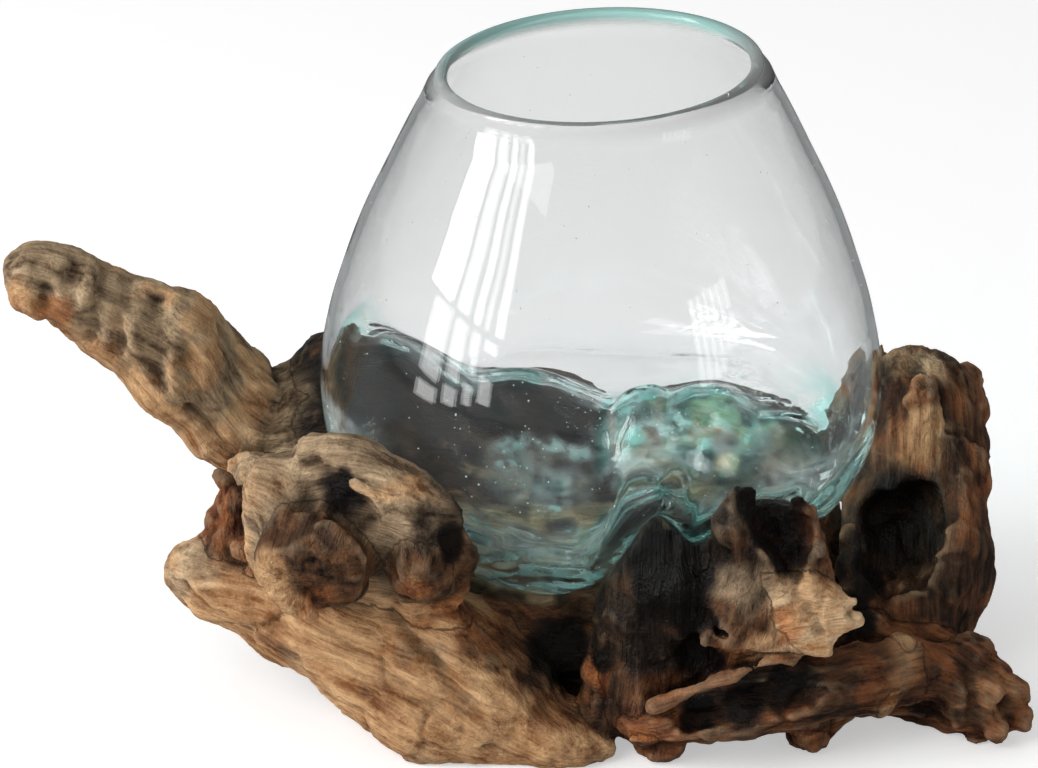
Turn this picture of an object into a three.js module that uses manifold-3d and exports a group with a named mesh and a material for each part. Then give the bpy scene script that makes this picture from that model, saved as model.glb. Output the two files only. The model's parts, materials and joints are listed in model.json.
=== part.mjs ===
// A blown glass vase slumped over a piece of root wood.
// Millimetres, +Z up. The origin is under the middle of the whole object, on the table.
// The vase is a thin-walled bulb whose underside has sunk over the humps of the root,
// so it sits in its own print and lifts straight up off the wood.
// The root is described limb by limb: each limb is a solid of its own, cut by its
// neighbours and by the glass, so that everything meets with a hairline gap.

import * as THREE from "three";
import { mergeVertices } from "three/addons/utils/BufferGeometryUtils.js";
import Module from "manifold-3d";

const wasm = await Module();
wasm.setup();

// Driving sizes of the vase
const bulbRadius = 82.4; // widest ring, outside
const rimRadius = 46.5; // mouth, outside
const equatorHeight = 82; // widest ring above the table
const shoulderHeight = 101; // widest ring up to the rim
const bellyDepth = 51; // widest ring down to the lowest point of the bulb
const wallThickness = 2.3;
const baseThickness = 4.6; // glass that gathered at the bottom
const beadRadius = 1.9; // the fire-polished lip
const rimTilt = 2.6; // mm that the rim rises from its middle to its right edge
const neckLean = 1.6; // mm that the mouth leans to the left
const vaseX = 24; // axis of the vase from the middle of the root
const vaseY = 0;

// The root below is measured on a bulb 82.4 mm in radius with its widest ring 82 mm above
// the table. Its plan widens and its heights rise with the bulb that sits in it.
const planScale = bulbRadius / 82.4;
const heightScale = equatorHeight / 82;

// Driving sizes of the fits
const seatGap = 0.3; // between the glass and the wood that it was blown on
const limbGap = 0.3; // between one limb and the next
const creaseRadius = 9; // how softly the glass turns where it meets the wood
const humpBlend = 4; // how softly one hump of the wood runs into the next

// How finely the surfaces are drawn
const vaseSides = 48;
const bellyRows = 15;
const shoulderRows = 7;
const beadRows = 4;
const limbSides = 12;
const limbRows = 10;

// The bulb's outline. The shoulder runs from the rim (0) to the widest ring (1), and the
// belly from the widest ring to the bottom; each point is [share of the radius, share of the height].
const shoulderOutline = [
  [0.15, 0.11],
  [0.38, 0.27],
  [0.58, 0.416],
  [0.775, 0.594],
  [0.92, 0.762],
  [0.993, 0.901],
];
const bellyOutline = [
  [0.981, 0.216],
  [0.922, 0.431],
  [0.819, 0.637],
  [0.667, 0.804],
  [0.461, 0.922],
];

// The humps of wood that pushed into the soft glass: [x, y] on plan, top above the table,
// half lengths along and across, the fall at which the sides have become straight slopes,
// and the turn of the long axis from +X in degrees.
const humps = [
  { x: -48, y: 24, top: 86, along: 24, across: 20, fall: 26, turn: -8 },
  { x: 0, y: 27, top: 69, along: 25, across: 15, fall: 26, turn: -4 },
  { x: 38, y: 20, top: 66, along: 9, across: 10, fall: 18, turn: 0 },
  { x: 57, y: 19, top: 70, along: 13, across: 12, fall: 22, turn: -10 },
  { x: 77, y: 12, top: 60, along: 13, across: 13, fall: 16, turn: -20 },
  { x: 2, y: 58, top: 61, along: 40, across: 28, fall: 14, turn: 0 },
  { x: 67, y: 42, top: 63, along: 34, across: 26, fall: 14, turn: -35 },
  { x: 96, y: 0, top: 55, along: 20, across: 26, fall: 12, turn: 0 },
  { x: 39, y: -90, top: 82.5, along: 24, across: 5.8, fall: 17.5, turn: 91 },
  { x: 68, y: -72, top: 73.5, along: 22, across: 18, fall: 18, turn: 8 },
].map((h) => ({
  x: h.x * planScale,
  y: h.y * planScale,
  top: h.top * heightScale,
  along: h.along * planScale,
  across: h.across * planScale,
  fall: h.fall * heightScale,
  turn: h.turn,
}));

// The limbs of the root. Each station is [x, y, z, half width, half height] in mm: the width
// lies along "across", and the height is square to it and to the limb. Lumps is the
// unevenness of the section as a share of its size. Limbs that come first keep their
// shape, and the later ones are cut to fit them.
const weatheredGrey = 0x8c7862;
const paleTan = 0xb08a62;
const darkBrown = 0x4a3022;
const charredBrown = 0x33241c;
const rustBrown = 0x7a4a32;
const brokenPale = 0xd2aa74;

const alongDepth = [0, 1, 0];
const alongWidth = [1, 0, 0];

const limbs = [
  {
    name: "root_core",
    colour: darkBrown,
    across: alongDepth,
    lumps: 0.05,
    stations: [
      [-66, 12, 30, 30, 16],
      [-46, 6, 27, 42, 21],
      [-12, 4, 25, 44, 21],
      [26, 4, 25, 45, 21],
      [60, 4, 27, 46, 23],
      [84, 4, 28, 40, 22],
      [100, 4, 30, 26, 18],
    ],
  },
  {
    name: "core_front",
    colour: darkBrown,
    across: alongDepth,
    lumps: 0.06,
    stations: [
      [-34, -34, 21, 12, 13],
      [-14, -38, 21, 15, 17],
      [12, -42, 21, 16, 18],
      [38, -44, 23, 17, 19],
      [62, -44, 25, 16, 20],
      [80, -40, 24, 12, 14],
    ],
  },
  {
    name: "left_trunk",
    colour: paleTan,
    across: alongDepth,
    lumps: 0.03,
    stations: [
      [-103, -31, 36, 7, 8],
      [-92, -34, 36, 11, 12],
      [-78, -41, 34, 15, 16],
      [-60, -48, 29, 19, 19],
      [-42, -54, 25, 22, 24],
      [-24, -60, 19, 22, 25],
      [-8, -65, 12, 18, 21],
      [6, -70, 6, 13, 12],
      [18, -74, 3, 8, 7],
      [27, -76, 2, 3, 4],
    ],
  },
  {
    name: "left_arm",
    colour: weatheredGrey,
    across: alongDepth,
    lumps: 0.04,
    stations: [
      [-150, 0, 118, 5, 5],
      [-143, 0, 117, 8, 9],
      [-130, 3, 110, 11, 12],
      [-115, 5, 99, 13, 15],
      [-102, 8, 90, 15, 18],
      [-90, 11, 77, 17, 19],
      [-78, 15, 63, 18, 19],
      [-64, 19, 61, 20, 20],
      [-50, 21, 56, 20, 20],
    ],
  },
  {
    name: "back_ridge",
    colour: darkBrown,
    across: alongDepth,
    lumps: 0.04,
    stations: [
      [-70, 24, 56, 15, 19],
      [-58, 24, 57, 23, 28],
      [-36, 25, 56, 26, 33],
      [-8, 27, 48, 26, 30],
      [18, 25, 42, 23, 26],
      [34, 22, 38, 16, 18],
    ],
  },
  {
    name: "centre_mound",
    colour: darkBrown,
    across: alongDepth,
    lumps: 0.05,
    stations: [
      [26, 18, 48, 13, 13],
      [40, 19, 51, 17, 20],
      [57, 19, 53, 19, 24],
      [77, 12, 46, 18, 21],
      [93, 8, 38, 12, 13],
    ],
  },
  {
    name: "front_saddle",
    colour: charredBrown,
    across: alongWidth,
    lumps: 0.05,
    stations: [
      [38, -64, 4, 15, 11],
      [39, -65, 20, 18, 13],
      [40, -66, 40, 19, 13],
      [40, -68, 56, 17, 12],
      [40, -62, 67, 14, 12],
      [43, -44, 60, 16, 13],
      [50, -20, 50, 17, 12],
    ],
  },
  {
    name: "front_burl",
    colour: weatheredGrey,
    across: alongDepth,
    lumps: 0.06,
    stations: [
      [-76, -47, 70, 10, 12],
      [-70, -50, 69, 15, 19],
      [-60, -54, 67, 18, 24],
      [-46, -58, 68, 18, 25],
      [-33, -62, 68, 16, 21],
      [-22, -66, 67, 13, 17],
      [-12, -68, 65, 8, 10],
    ],
  },
  {
    name: "burl_disc",
    colour: rustBrown,
    across: alongWidth,
    lumps: 0.05,
    stations: [
      [-51, -62, 69, 12, 12],
      [-54, -70, 68, 15, 14],
      [-56, -78, 66, 17, 16],
      [-57, -86, 63, 14, 13],
    ],
  },
  {
    name: "burl_knob",
    colour: rustBrown,
    across: alongWidth,
    lumps: 0.05,
    stations: [
      [-27, -62, 66, 8, 8],
      [-28, -72, 65, 9, 9],
      [-28, -80, 63, 8, 8],
      [-28, -85, 61, 5, 5],
    ],
  },
  {
    name: "side_knob",
    colour: rustBrown,
    across: alongWidth,
    lumps: 0.08,
    stations: [
      [-72, -32, 37, 10, 10],
      [-77, -35, 45, 11, 10],
      [-79, -35, 55, 10, 9],
      [-78, -35, 65, 6, 6],
    ],
  },
  {
    name: "horn",
    colour: charredBrown,
    across: alongWidth,
    lumps: 0.06,
    stations: [
      [60, -60, 18, 13, 11],
      [66, -66, 38, 17, 13],
      [70, -71, 56, 16, 12],
      [72, -75, 74, 13, 10],
      [70, -77, 90, 8, 7],
    ],
    hollow: [
      [73, -80, 100, 8, 5],
      [74, -79, 86, 7, 5],
      [73, -77, 70, 4, 3],
    ],
  },
  {
    name: "broken_spur",
    colour: brokenPale,
    across: alongDepth,
    lumps: 0.08,
    stations: [
      [68, -72, 44, 10, 12],
      [79, -76, 47, 10, 12],
      [89, -79, 48, 8, 11],
      [97, -80, 49, 5, 7],
    ],
  },
  {
    name: "lower_bark",
    colour: rustBrown,
    across: alongDepth,
    lumps: 0.05,
    stations: [
      [30, -78, 13, 6, 6],
      [42, -78, 14, 8, 8],
      [60, -77, 18, 9, 11],
      [80, -73, 19, 10, 12],
      [100, -64, 18, 11, 12],
      [116, -53, 16, 11, 11],
    ],
    hollow: [
      [38, -87, 14, 4, 4],
      [48, -88, 17, 6, 5],
      [62, -87, 21, 8, 7],
      [80, -83, 22, 9, 8],
      [94, -76, 21, 7, 6],
    ],
  },
  {
    name: "peg_front",
    colour: rustBrown,
    across: alongWidth,
    lumps: 0.04,
    stations: [
      [41, -71, -5, 8, 7],
      [41, -71, 4, 8, 7],
      [41, -70, 12, 8, 8],
      [40, -67, 21, 7, 7],
    ],
  },
  {
    name: "peg_side",
    colour: rustBrown,
    across: alongWidth,
    lumps: 0.04,
    stations: [
      [83, -67, -5, 6, 5],
      [83, -66, 4, 6, 5],
      [83, -64, 11, 6, 6],
      [84, -60, 20, 6, 6],
    ],
  },
  {
    name: "right_slab",
    colour: darkBrown,
    across: alongWidth,
    lumps: 0.04,
    stations: [
      [113, -36, 2, 17, 16],
      [116, -28, 20, 22, 18],
      [120, -14, 40, 24, 17],
      [122, 0, 58, 21, 14],
      [121, 10, 74, 18, 11],
      [118, 15, 88, 11, 7],
    ],
    hollow: [
      [106, -44, 40, 10, 11],
      [109, -32, 44, 12, 12],
      [113, -19, 48, 10, 11],
      [117, -9, 51, 6, 6],
    ],
  },
  {
    name: "slab_spike",
    colour: rustBrown,
    across: alongWidth,
    lumps: 0.05,
    stations: [
      [128, 4, 38, 9, 9],
      [133, 14, 56, 9, 8],
      [136, 22, 72, 7, 7],
      [136, 26, 86, 4, 4],
    ],
  },
  {
    name: "slab_thorn",
    colour: darkBrown,
    across: alongWidth,
    lumps: 0.05,
    stations: [
      [98, 22, 30, 11, 11],
      [103, 30, 48, 9, 9],
      [108, 32, 66, 7, 6],
      [111, 32, 82, 3, 3],
    ],
  },
  {
    name: "right_root",
    colour: rustBrown,
    across: alongDepth,
    lumps: 0.06,
    stations: [
      [96, -42, 13, 15, 14],
      [110, -48, 13, 15, 15],
      [122, -53, 11, 13, 14],
      [133, -58, 8, 10, 11],
    ],
  },
  {
    name: "root_knob",
    colour: rustBrown,
    across: alongDepth,
    lumps: 0.06,
    stations: [
      [123, -56, 8, 9, 9],
      [133, -58, 8, 12, 12],
      [142, -59, 7, 11, 10],
      [148, -59, 6, 6, 6],
    ],
  },
  {
    name: "rear_root_left",
    colour: darkBrown,
    across: alongWidth,
    lumps: 0.06,
    stations: [
      [-34, 30, 30, 20, 16],
      [-48, 48, 22, 17, 15],
      [-60, 64, 10, 14, 12],
      [-70, 80, 2, 9, 7],
    ],
  },
  {
    name: "rear_root_right",
    colour: darkBrown,
    across: alongWidth,
    lumps: 0.06,
    stations: [
      [48, 30, 28, 20, 16],
      [60, 48, 22, 17, 15],
      [70, 65, 9, 14, 12],
      [74, 82, 1, 10, 8],
    ],
  },
  {
    name: "rear_stub",
    colour: darkBrown,
    across: alongWidth,
    lumps: 0.06,
    stations: [
      [6, 34, 34, 19, 16],
      [8, 50, 34, 17, 15],
      [10, 66, 38, 14, 13],
      [11, 76, 42, 11, 10],
    ],
  },
];

// The vase's field: negative inside the sunken bulb, positive outside, close to a distance in mm.

// A point high on the axis from which every part of the glass can be seen.
const sightHeight = equatorHeight + 0.28 * shoulderHeight;

// The outline as angles and distances seen from there, for a smooth curve through them.
const outline = [
  [rimRadius, equatorHeight + shoulderHeight],
  ...shoulderOutline.map(([r, h]) => [
    rimRadius + (bulbRadius - rimRadius) * r,
    equatorHeight + shoulderHeight * (1 - h),
  ]),
  [bulbRadius, equatorHeight],
  ...bellyOutline.map(([r, h]) => [bulbRadius * r, equatorHeight - bellyDepth * h]),
  [0, equatorHeight - bellyDepth],
].map(([r, z]) => [Math.atan2(r, z - sightHeight), Math.hypot(r, z - sightHeight)]);

// A cubic curve through the outline: distance of the bulb's skin at an angle from straight up.
function bulbDistance(angle) {
  const last = outline.length - 1;
  let i = 0;
  while (i < last - 1 && angle > outline[i + 1][0]) i++;
  const slope = (k) => {
    const a = outline[Math.max(k - 1, 0)];
    const b = outline[Math.min(k + 1, last)];
    return k === last ? 0 : (b[1] - a[1]) / (b[0] - a[0]);
  };
  const [a0, d0] = outline[i];
  const [a1, d1] = outline[i + 1];
  const span = a1 - a0;
  const t = (angle - a0) / span;
  return (
    (1 + 2 * t) * (1 - t) ** 2 * d0 +
    t * (1 - t) ** 2 * span * slope(i) +
    t * t * (3 - 2 * t) * d1 +
    t * t * (t - 1) * span * slope(i + 1)
  );
}

// Height of the wood under the glass: rounded humps with straight slopes, blended together.
function woodHeight(x, y) {
  const heights = humps.map((h) => {
    const turn = (h.turn * Math.PI) / 180;
    const u = ((x - h.x) * Math.cos(turn) + (y - h.y) * Math.sin(turn)) / h.along;
    const v = ((y - h.y) * Math.cos(turn) - (x - h.x) * Math.sin(turn)) / h.across;
    return h.top - h.fall * (Math.sqrt(1 + u * u + v * v) - 1);
  });
  const highest = Math.max(...heights);
  return highest + humpBlend * Math.log(heights.reduce((s, h) => s + Math.exp((h - highest) / humpBlend), 0));
}

const angleStep = 0.01;
const slopeStep = 0.5; // mm, for measuring a slope

function vaseField(x, y, z) {
  const dx = x - vaseX;
  const dy = y - vaseY;
  const dz = z - sightHeight;
  const angle = Math.atan2(Math.hypot(dx, dy), dz);
  const skin = bulbDistance(angle);
  const steepness = (bulbDistance(Math.min(angle + angleStep, Math.PI)) - skin) / angleStep / skin;
  const beyondBulb = (Math.hypot(dx, dy, dz) - skin) / Math.hypot(1, steepness);
  const wood = woodHeight(x, y);
  const slopeX = (woodHeight(x + slopeStep, y) - wood) / slopeStep;
  const slopeY = (woodHeight(x, y + slopeStep) - wood) / slopeStep;
  const belowWood = (wood - z) / Math.hypot(1, slopeX, slopeY);
  const blend = Math.max(creaseRadius - Math.abs(beyondBulb - belowWood), 0) / creaseRadius;
  return Math.max(beyondBulb, belowWood) + (blend * blend * creaseRadius) / 4;
}

// Glass that gathered low down: the wall thickens from the widest ring to the bottom.
function thicknessAt(z) {
  const low = THREE.MathUtils.smoothstep(equatorHeight - z, -0.1 * bellyDepth, 0.8 * bellyDepth);
  return wallThickness + (baseThickness - wallThickness) * low;
}

// Walks out from the sight point along a direction to where the field reaches a level.
// inset(z) is the depth below the outer skin, so 0 is the skin and thicknessAt the inside.
function skinPoint(angle, around, inset) {
  const dx = Math.sin(angle) * Math.cos(around);
  const dy = Math.sin(angle) * Math.sin(around);
  const dz = Math.cos(angle);
  const at = (d) => [vaseX + dx * d, vaseY + dy * d, sightHeight + dz * d];
  const level = (d) => {
    const p = at(d);
    return vaseField(...p) + inset(p[2]);
  };
  let near = 0;
  const step = 2;
  while (level(near + step) < 0) near += step;
  let far = near + step;
  for (let i = 0; i < 24; i++) {
    const middle = (near + far) / 2;
    if (level(middle) < 0) near = middle;
    else far = middle;
  }
  return at(near);
}

// The mouth is cut a little out of level, and the neck leans.
function settleRim([x, y, z]) {
  const up = Math.max(0, (z - equatorHeight) / shoulderHeight);
  return [x - neckLean * up, y, z + (rimTilt * up * (x - vaseX)) / rimRadius];
}

// Helpers for closed meshes

function solidOf(geometry) {
  const bare = new THREE.BufferGeometry().setAttribute("position", geometry.getAttribute("position"));
  bare.setIndex(geometry.getIndex());
  const merged = mergeVertices(bare, 1e-4);
  const triVerts = [];
  const index = merged.getIndex().array;
  for (let i = 0; i < index.length; i += 3) {
    const [a, b, c] = [index[i], index[i + 1], index[i + 2]];
    if (a !== b && b !== c && c !== a) triVerts.push(a, b, c);
  }
  const make = (corners) =>
    new wasm.Manifold(
      new wasm.Mesh({
        numProp: 3,
        vertProperties: new Float32Array(merged.getAttribute("position").array),
        triVerts: new Uint32Array(corners),
      }),
    );
  const solid = make(triVerts);
  return solid.volume() > 0 ? solid : make(triVerts.reverse());
}

function meshOf(solid, name, material) {
  const { numProp, vertProperties, triVerts } = solid.getMesh();
  const points = [];
  for (let i = 0; i < vertProperties.length; i += numProp) points.push(...vertProperties.slice(i, i + 3));
  const geometry = new THREE.BufferGeometry();
  geometry.setAttribute("position", new THREE.Float32BufferAttribute(points, 3));
  geometry.setIndex(Array.from(triVerts));
  geometry.computeVertexNormals();
  const mesh = new THREE.Mesh(geometry, material);
  mesh.name = name;
  return mesh;
}

// Vase

const upright = 0;
const straightDown = Math.PI;
const rimAngle = outline[0][0];
const belowBead = 0.06; // radians, from the lip's edge to where the plain wall starts
const equatorAngle = Math.atan2(bulbRadius, equatorHeight - sightHeight);

// Angles from the bottom of the bulb up to just below the lip.
function skinAngles(topAngle) {
  const angles = [];
  for (let i = 0; i <= bellyRows; i++) {
    angles.push(straightDown + ((equatorAngle - straightDown) * i) / bellyRows);
  }
  for (let i = 1; i <= shoulderRows; i++) {
    angles.push(equatorAngle + ((topAngle - equatorAngle) * i) / shoulderRows);
  }
  return angles;
}

// Turns a list of rows into a closed lathe: place(row, around) gives each point.
function latheSolid(rows, place) {
  const dummy = rows.map((_, i) => {
    const turn = (Math.PI * i) / (rows.length - 1);
    return new THREE.Vector2(Math.sin(turn), -Math.cos(turn));
  });
  const geometry = new THREE.LatheGeometry(dummy, vaseSides);
  const position = geometry.getAttribute("position");
  for (let i = 0; i <= vaseSides; i++) {
    const around = ((i % vaseSides) * 2 * Math.PI) / vaseSides;
    rows.forEach((row, j) => position.setXYZ(i * rows.length + j, ...place(row, around)));
  }
  return solidOf(geometry);
}

function vaseSolid() {
  const beadHeight = equatorHeight + shoulderHeight - beadRadius;
  const beadMiddle = rimRadius - beadRadius;
  const outside = skinAngles(rimAngle + belowBead).map((angle) => ({ angle, inset: () => 0 }));
  const bead = Array.from({ length: beadRows + 1 }, (_, i) => ({ bead: (Math.PI * i) / beadRows }));
  const inside = skinAngles(rimAngle + belowBead)
    .map((angle) => ({ angle, inset: thicknessAt }))
    .reverse();
  return latheSolid([...outside, ...bead, ...inside], (row, around) => {
    if (row.bead === undefined) return settleRim(skinPoint(row.angle, around, row.inset));
    const r = beadMiddle + beadRadius * Math.cos(row.bead);
    const z = beadHeight + beadRadius * Math.sin(row.bead);
    return settleRim([vaseX + r * Math.cos(around), vaseY + r * Math.sin(around), z]);
  });
}

// Everything that the vase fills, and sweeps when it is lifted: the sunken bulb grown by the
// seat gap, with a plain round shaft above its widest ring.
function vaseSweep() {
  const aboveEverything = equatorHeight + 2 * shoulderHeight;
  const grown = latheSolid(
    [...skinAngles(rimAngle + belowBead), upright].map((angle) => ({ angle })),
    (row, around) => {
      if (row.angle === upright) return [vaseX, vaseY, equatorHeight + shoulderHeight];
      return settleRim(skinPoint(row.angle, around, () => -seatGap));
    },
  );
  const shaftFoot = equatorHeight + 8;
  const shaft = new THREE.CylinderGeometry(
    bulbRadius + seatGap,
    bulbRadius + seatGap,
    aboveEverything - shaftFoot,
    vaseSides,
  );
  shaft.rotateX(Math.PI / 2);
  shaft.translate(vaseX, vaseY, (aboveEverything + shaftFoot) / 2);
  return grown.add(solidOf(shaft));
}

// Limbs

// A limb is the grid of a sphere laid along a smooth curve through the stations, with an
// uneven oval section that closes to a blunt end.
function limbSolid({ stations, across, lumps }, grow, phase) {
  const middles = stations.map(([x, y, z]) => {
    return new THREE.Vector3(x * planScale, y * planScale, z * heightScale);
  });
  const halves = stations.map(([, , , w, h]) => new THREE.Vector3(w * planScale, h * heightScale, 0));
  const path = new THREE.CatmullRomCurve3(middles);
  const sizes = new THREE.CatmullRomCurve3(halves);
  const endShare = 0.14;
  const widthHint = new THREE.Vector3(...across);
  const geometry = new THREE.SphereGeometry(1, limbSides, limbRows);
  const position = geometry.getAttribute("position");
  for (let j = 0; j <= limbRows; j++) {
    const t = j / limbRows;
    const middle = path.getPoint(t);
    const size = sizes.getPoint(t);
    const tangent = path.getTangent(t);
    const high = new THREE.Vector3().crossVectors(tangent, widthHint).normalize();
    const wide = new THREE.Vector3().crossVectors(high, tangent).normalize();
    const fromEnd = Math.min(t, 1 - t, endShare) / endShare;
    const close = Math.sqrt(Math.max(0, 1 - (1 - fromEnd) ** 2));
    if (j === 0) middle.addScaledVector(tangent, -grow);
    if (j === limbRows) middle.addScaledVector(tangent, grow);
    for (let i = 0; i <= limbSides; i++) {
      const turn = ((i % limbSides) * 2 * Math.PI) / limbSides;
      const uneven =
        1 +
        lumps * Math.sin(2 * turn + phase + 5 * t) +
        lumps * Math.sin(3 * turn - 2 * phase + 11 * t) +
        0.7 * lumps * Math.sin(5 * turn + 3 * phase - 7 * t);
      const w = close * (size.x * uneven + grow);
      const h = close * (size.y * uneven + grow);
      const p = middle
        .clone()
        .addScaledVector(wide, w * Math.cos(turn))
        .addScaledVector(high, h * Math.sin(turn));
      position.setXYZ(j * (limbSides + 1) + i, p.x, p.y, p.z);
    }
  }
  return solidOf(geometry);
}

// The largest of the bodies that a cut leaves: chips cut loose would fall off.
function mainBody(solid) {
  return solid.decompose().reduce((a, b) => (b.volume() > a.volume() ? b : a));
}

// The table side of the root was sawn flat.
function aboveTable() {
  const reach = 1000;
  const box = new THREE.BoxGeometry(reach, reach, reach);
  box.translate(0, 0, reach / 2);
  return solidOf(box);
}

const woodFinish = { roughness: 0.75, metalness: 0 };
const sweep = vaseSweep();
const table = aboveTable();
const finished = [];
const growns = [];
limbs.forEach((limb, n) => {
  let solid = limbSolid(limb, 0, n);
  if (limb.hollow) {
    solid = solid.subtract(limbSolid({ ...limb, stations: limb.hollow }, 0, n));
  }
  solid = solid.intersect(table).subtract(sweep);
  for (const grown of growns) solid = solid.subtract(grown);
  growns.push(limbSolid(limb, limbGap, n));
  finished.push(
    meshOf(
      mainBody(solid),
      limb.name,
      new THREE.MeshStandardMaterial({ color: limb.colour, ...woodFinish }),
    ),
  );
});

const glass = new THREE.MeshStandardMaterial({
  color: 0xd8efea,
  roughness: 0.03,
  metalness: 0,
  transparent: true,
  opacity: 0.3,
});

const part = new THREE.Group();
part.add(meshOf(vaseSolid(), "glass_vessel", glass), ...finished);

// The origin goes under the middle of the whole, on the table.
const bounds = new THREE.Box3().setFromObject(part);
part.position.set(-(bounds.min.x + bounds.max.x) / 2, -(bounds.min.y + bounds.max.y) / 2, -bounds.min.z);

export default part;
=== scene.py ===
# %% [markdown]
# # A blown glass vase on a piece of root wood
# The real object is two things. One is a grown root, gnarled, knotted and partly burnt. The
# other is a glass bulb that was let down hot over the root, so that its underside slumped
# over the humps of the wood and took their print. This lesson makes the look of both over
# a model that already has their sizes, joints and solids. Every new surface is worked out
# with numpy, as whole arrays.

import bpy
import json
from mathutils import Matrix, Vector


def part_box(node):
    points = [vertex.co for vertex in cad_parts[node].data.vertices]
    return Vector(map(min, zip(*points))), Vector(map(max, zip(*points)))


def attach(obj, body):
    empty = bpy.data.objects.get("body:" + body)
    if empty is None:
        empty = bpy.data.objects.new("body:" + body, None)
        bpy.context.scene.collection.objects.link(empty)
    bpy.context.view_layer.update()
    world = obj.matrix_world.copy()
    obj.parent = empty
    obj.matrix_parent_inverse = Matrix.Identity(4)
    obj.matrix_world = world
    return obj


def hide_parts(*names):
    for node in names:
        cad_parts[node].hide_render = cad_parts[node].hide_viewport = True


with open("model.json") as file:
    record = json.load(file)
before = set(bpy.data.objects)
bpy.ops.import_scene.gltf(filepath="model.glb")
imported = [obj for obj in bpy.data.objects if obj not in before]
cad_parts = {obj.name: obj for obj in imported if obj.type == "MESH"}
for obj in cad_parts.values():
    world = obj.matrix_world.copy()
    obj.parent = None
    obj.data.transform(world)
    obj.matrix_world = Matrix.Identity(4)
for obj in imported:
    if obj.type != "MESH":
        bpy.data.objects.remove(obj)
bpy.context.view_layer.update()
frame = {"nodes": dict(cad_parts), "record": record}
node_boxes = [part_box(node) for node in frame["nodes"]]
lowest_corner = [min(box[0][k] for box in node_boxes) for k in range(3)]
highest_corner = [max(box[1][k] for box in node_boxes) for k in range(3)]
print("nodes", len(node_boxes), "box in m", [round(v, 4) for v in lowest_corner + highest_corner])

# %% [markdown]
# ## Tools and the way home
# The vase and the root share one drawing frame in millimetres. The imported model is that
# frame moved so that its origin is under the middle of the whole object, and in metres.

# %% Shared tools
import json
import math

import bpy
import numpy as np
import openvdb as vdb
from mathutils import Vector

to_row = np.array([1.0, 3.095, 0.0])


def metres(points):
    """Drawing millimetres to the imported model's metres: shift, then divide by 1000."""
    return (np.asarray(points, float) + to_row) / 1000.0


def unit(v):
    """Vectors divided by their own length."""
    return v / np.linalg.norm(v, axis=-1, keepdims=True)


print("shift in mm", to_row)


# %% [markdown]
# ## Camera
# The photograph looks down at the object by about 27 degrees through a long lens, from
# just under a metre away. A long lens keeps the two ends of the root the same size.

# %% Camera
camera_place = Vector((0.0010, -0.846905, 0.50758))
camera_target = Vector((0.0010, 0.003095, 0.0820))
camera_data = bpy.data.cameras.new("photo_camera")
camera_data.lens = 111.763
camera_data.sensor_width = 36.0
camera = bpy.data.objects.new("photo_camera", camera_data)
camera.location = camera_place
camera.rotation_euler = (camera_target - camera_place).to_track_quat("-Z", "Y").to_euler()
bpy.context.scene.collection.objects.link(camera)
bpy.context.scene.camera = camera
bpy.context.scene.view_settings.view_transform = "Standard"
print("camera", round((camera_target - camera_place).length, 3), "m away")

# %% [markdown]
# ## Node helpers
# Every finish below is a small web of shader nodes. Two helpers keep it readable: one
# makes nodes and fills their sockets, the other turns a screen colour into the linear
# light that a shader works in.

# %% Node helpers
def tone(red, green, blue):
    """Screen colour 0 to 255 as linear light: ((c + 0.055) / 1.055) to the power 2.4."""
    share = np.array([red, green, blue]) / 255.0
    linear = np.where(share <= 0.04045, share / 12.92, ((share + 0.055) / 1.055) ** 2.4)
    return (*[float(v) for v in linear], 1.0)


class Web:
    """A node tree that is written as calls: web.add(kind, socket=value or output)."""

    def __init__(self, tree):
        self.tree = tree
        tree.nodes.clear()

    def fill(self, socket, value):
        if isinstance(value, bpy.types.NodeSocket):
            self.tree.links.new(value, socket)
        else:
            socket.default_value = value

    def add(self, kind, inputs=None, **settings):
        node = self.tree.nodes.new("ShaderNode" + kind)
        for name, value in settings.items():
            setattr(node, name, value)
        for name, value in (inputs or {}).items():
            self.fill(node.inputs[name], value)
        return node

    def math(self, operation, a, b=0.0, near=0.5):
        """Only COMPARE reads near: two values are equal to it when they are that close."""
        return self.add("Math", {0: a, 1: b, 2: near}, operation=operation).outputs[0]

    def plus(self, a, b):
        return self.math("ADD", a, b)

    def less(self, a, b):
        return self.math("SUBTRACT", a, b)

    def times(self, a, b):
        return self.math("MULTIPLY", a, b)

    def mix(self, share, a, b, blend="MIX"):
        node = self.add("Mix", data_type="RGBA", blend_type=blend)
        self.fill(node.inputs[0], share)
        self.fill(node.inputs[6], a)
        self.fill(node.inputs[7], b)
        return node.outputs[2]

    def ramp(self, value, low, high):
        """0 below low, 1 above high, straight between."""
        return self.add("MapRange", {"Value": value, "From Min": low, "From Max": high}).outputs[0]

    def parts_of(self, attribute):
        """The three numbers of a vector that is stored on the points of the mesh."""
        whole = self.add("Attribute", attribute_name=attribute).outputs["Vector"]
        return self.add("SeparateXYZ", {0: whole}).outputs


def new_material(name):
    """A material with an empty web."""
    material = bpy.data.materials.new(name)
    material.use_nodes = True
    return material, Web(material.node_tree)


white = (1.0, 1.0, 1.0, 1.0)
print("mid grey as light", round(tone(128, 128, 128)[0], 3))

# %% [markdown]
# ## Floor and light
# The object stands on a plain pale floor. Its white is the floor's own colour plus a
# little glow. The glow shows to the eye and straight through glass but lights nothing, so
# the shadow under the root stays. To a ray that was mirrored once the floor is a darker
# grey, or every dark thing under the glass would wear a veil.

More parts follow.
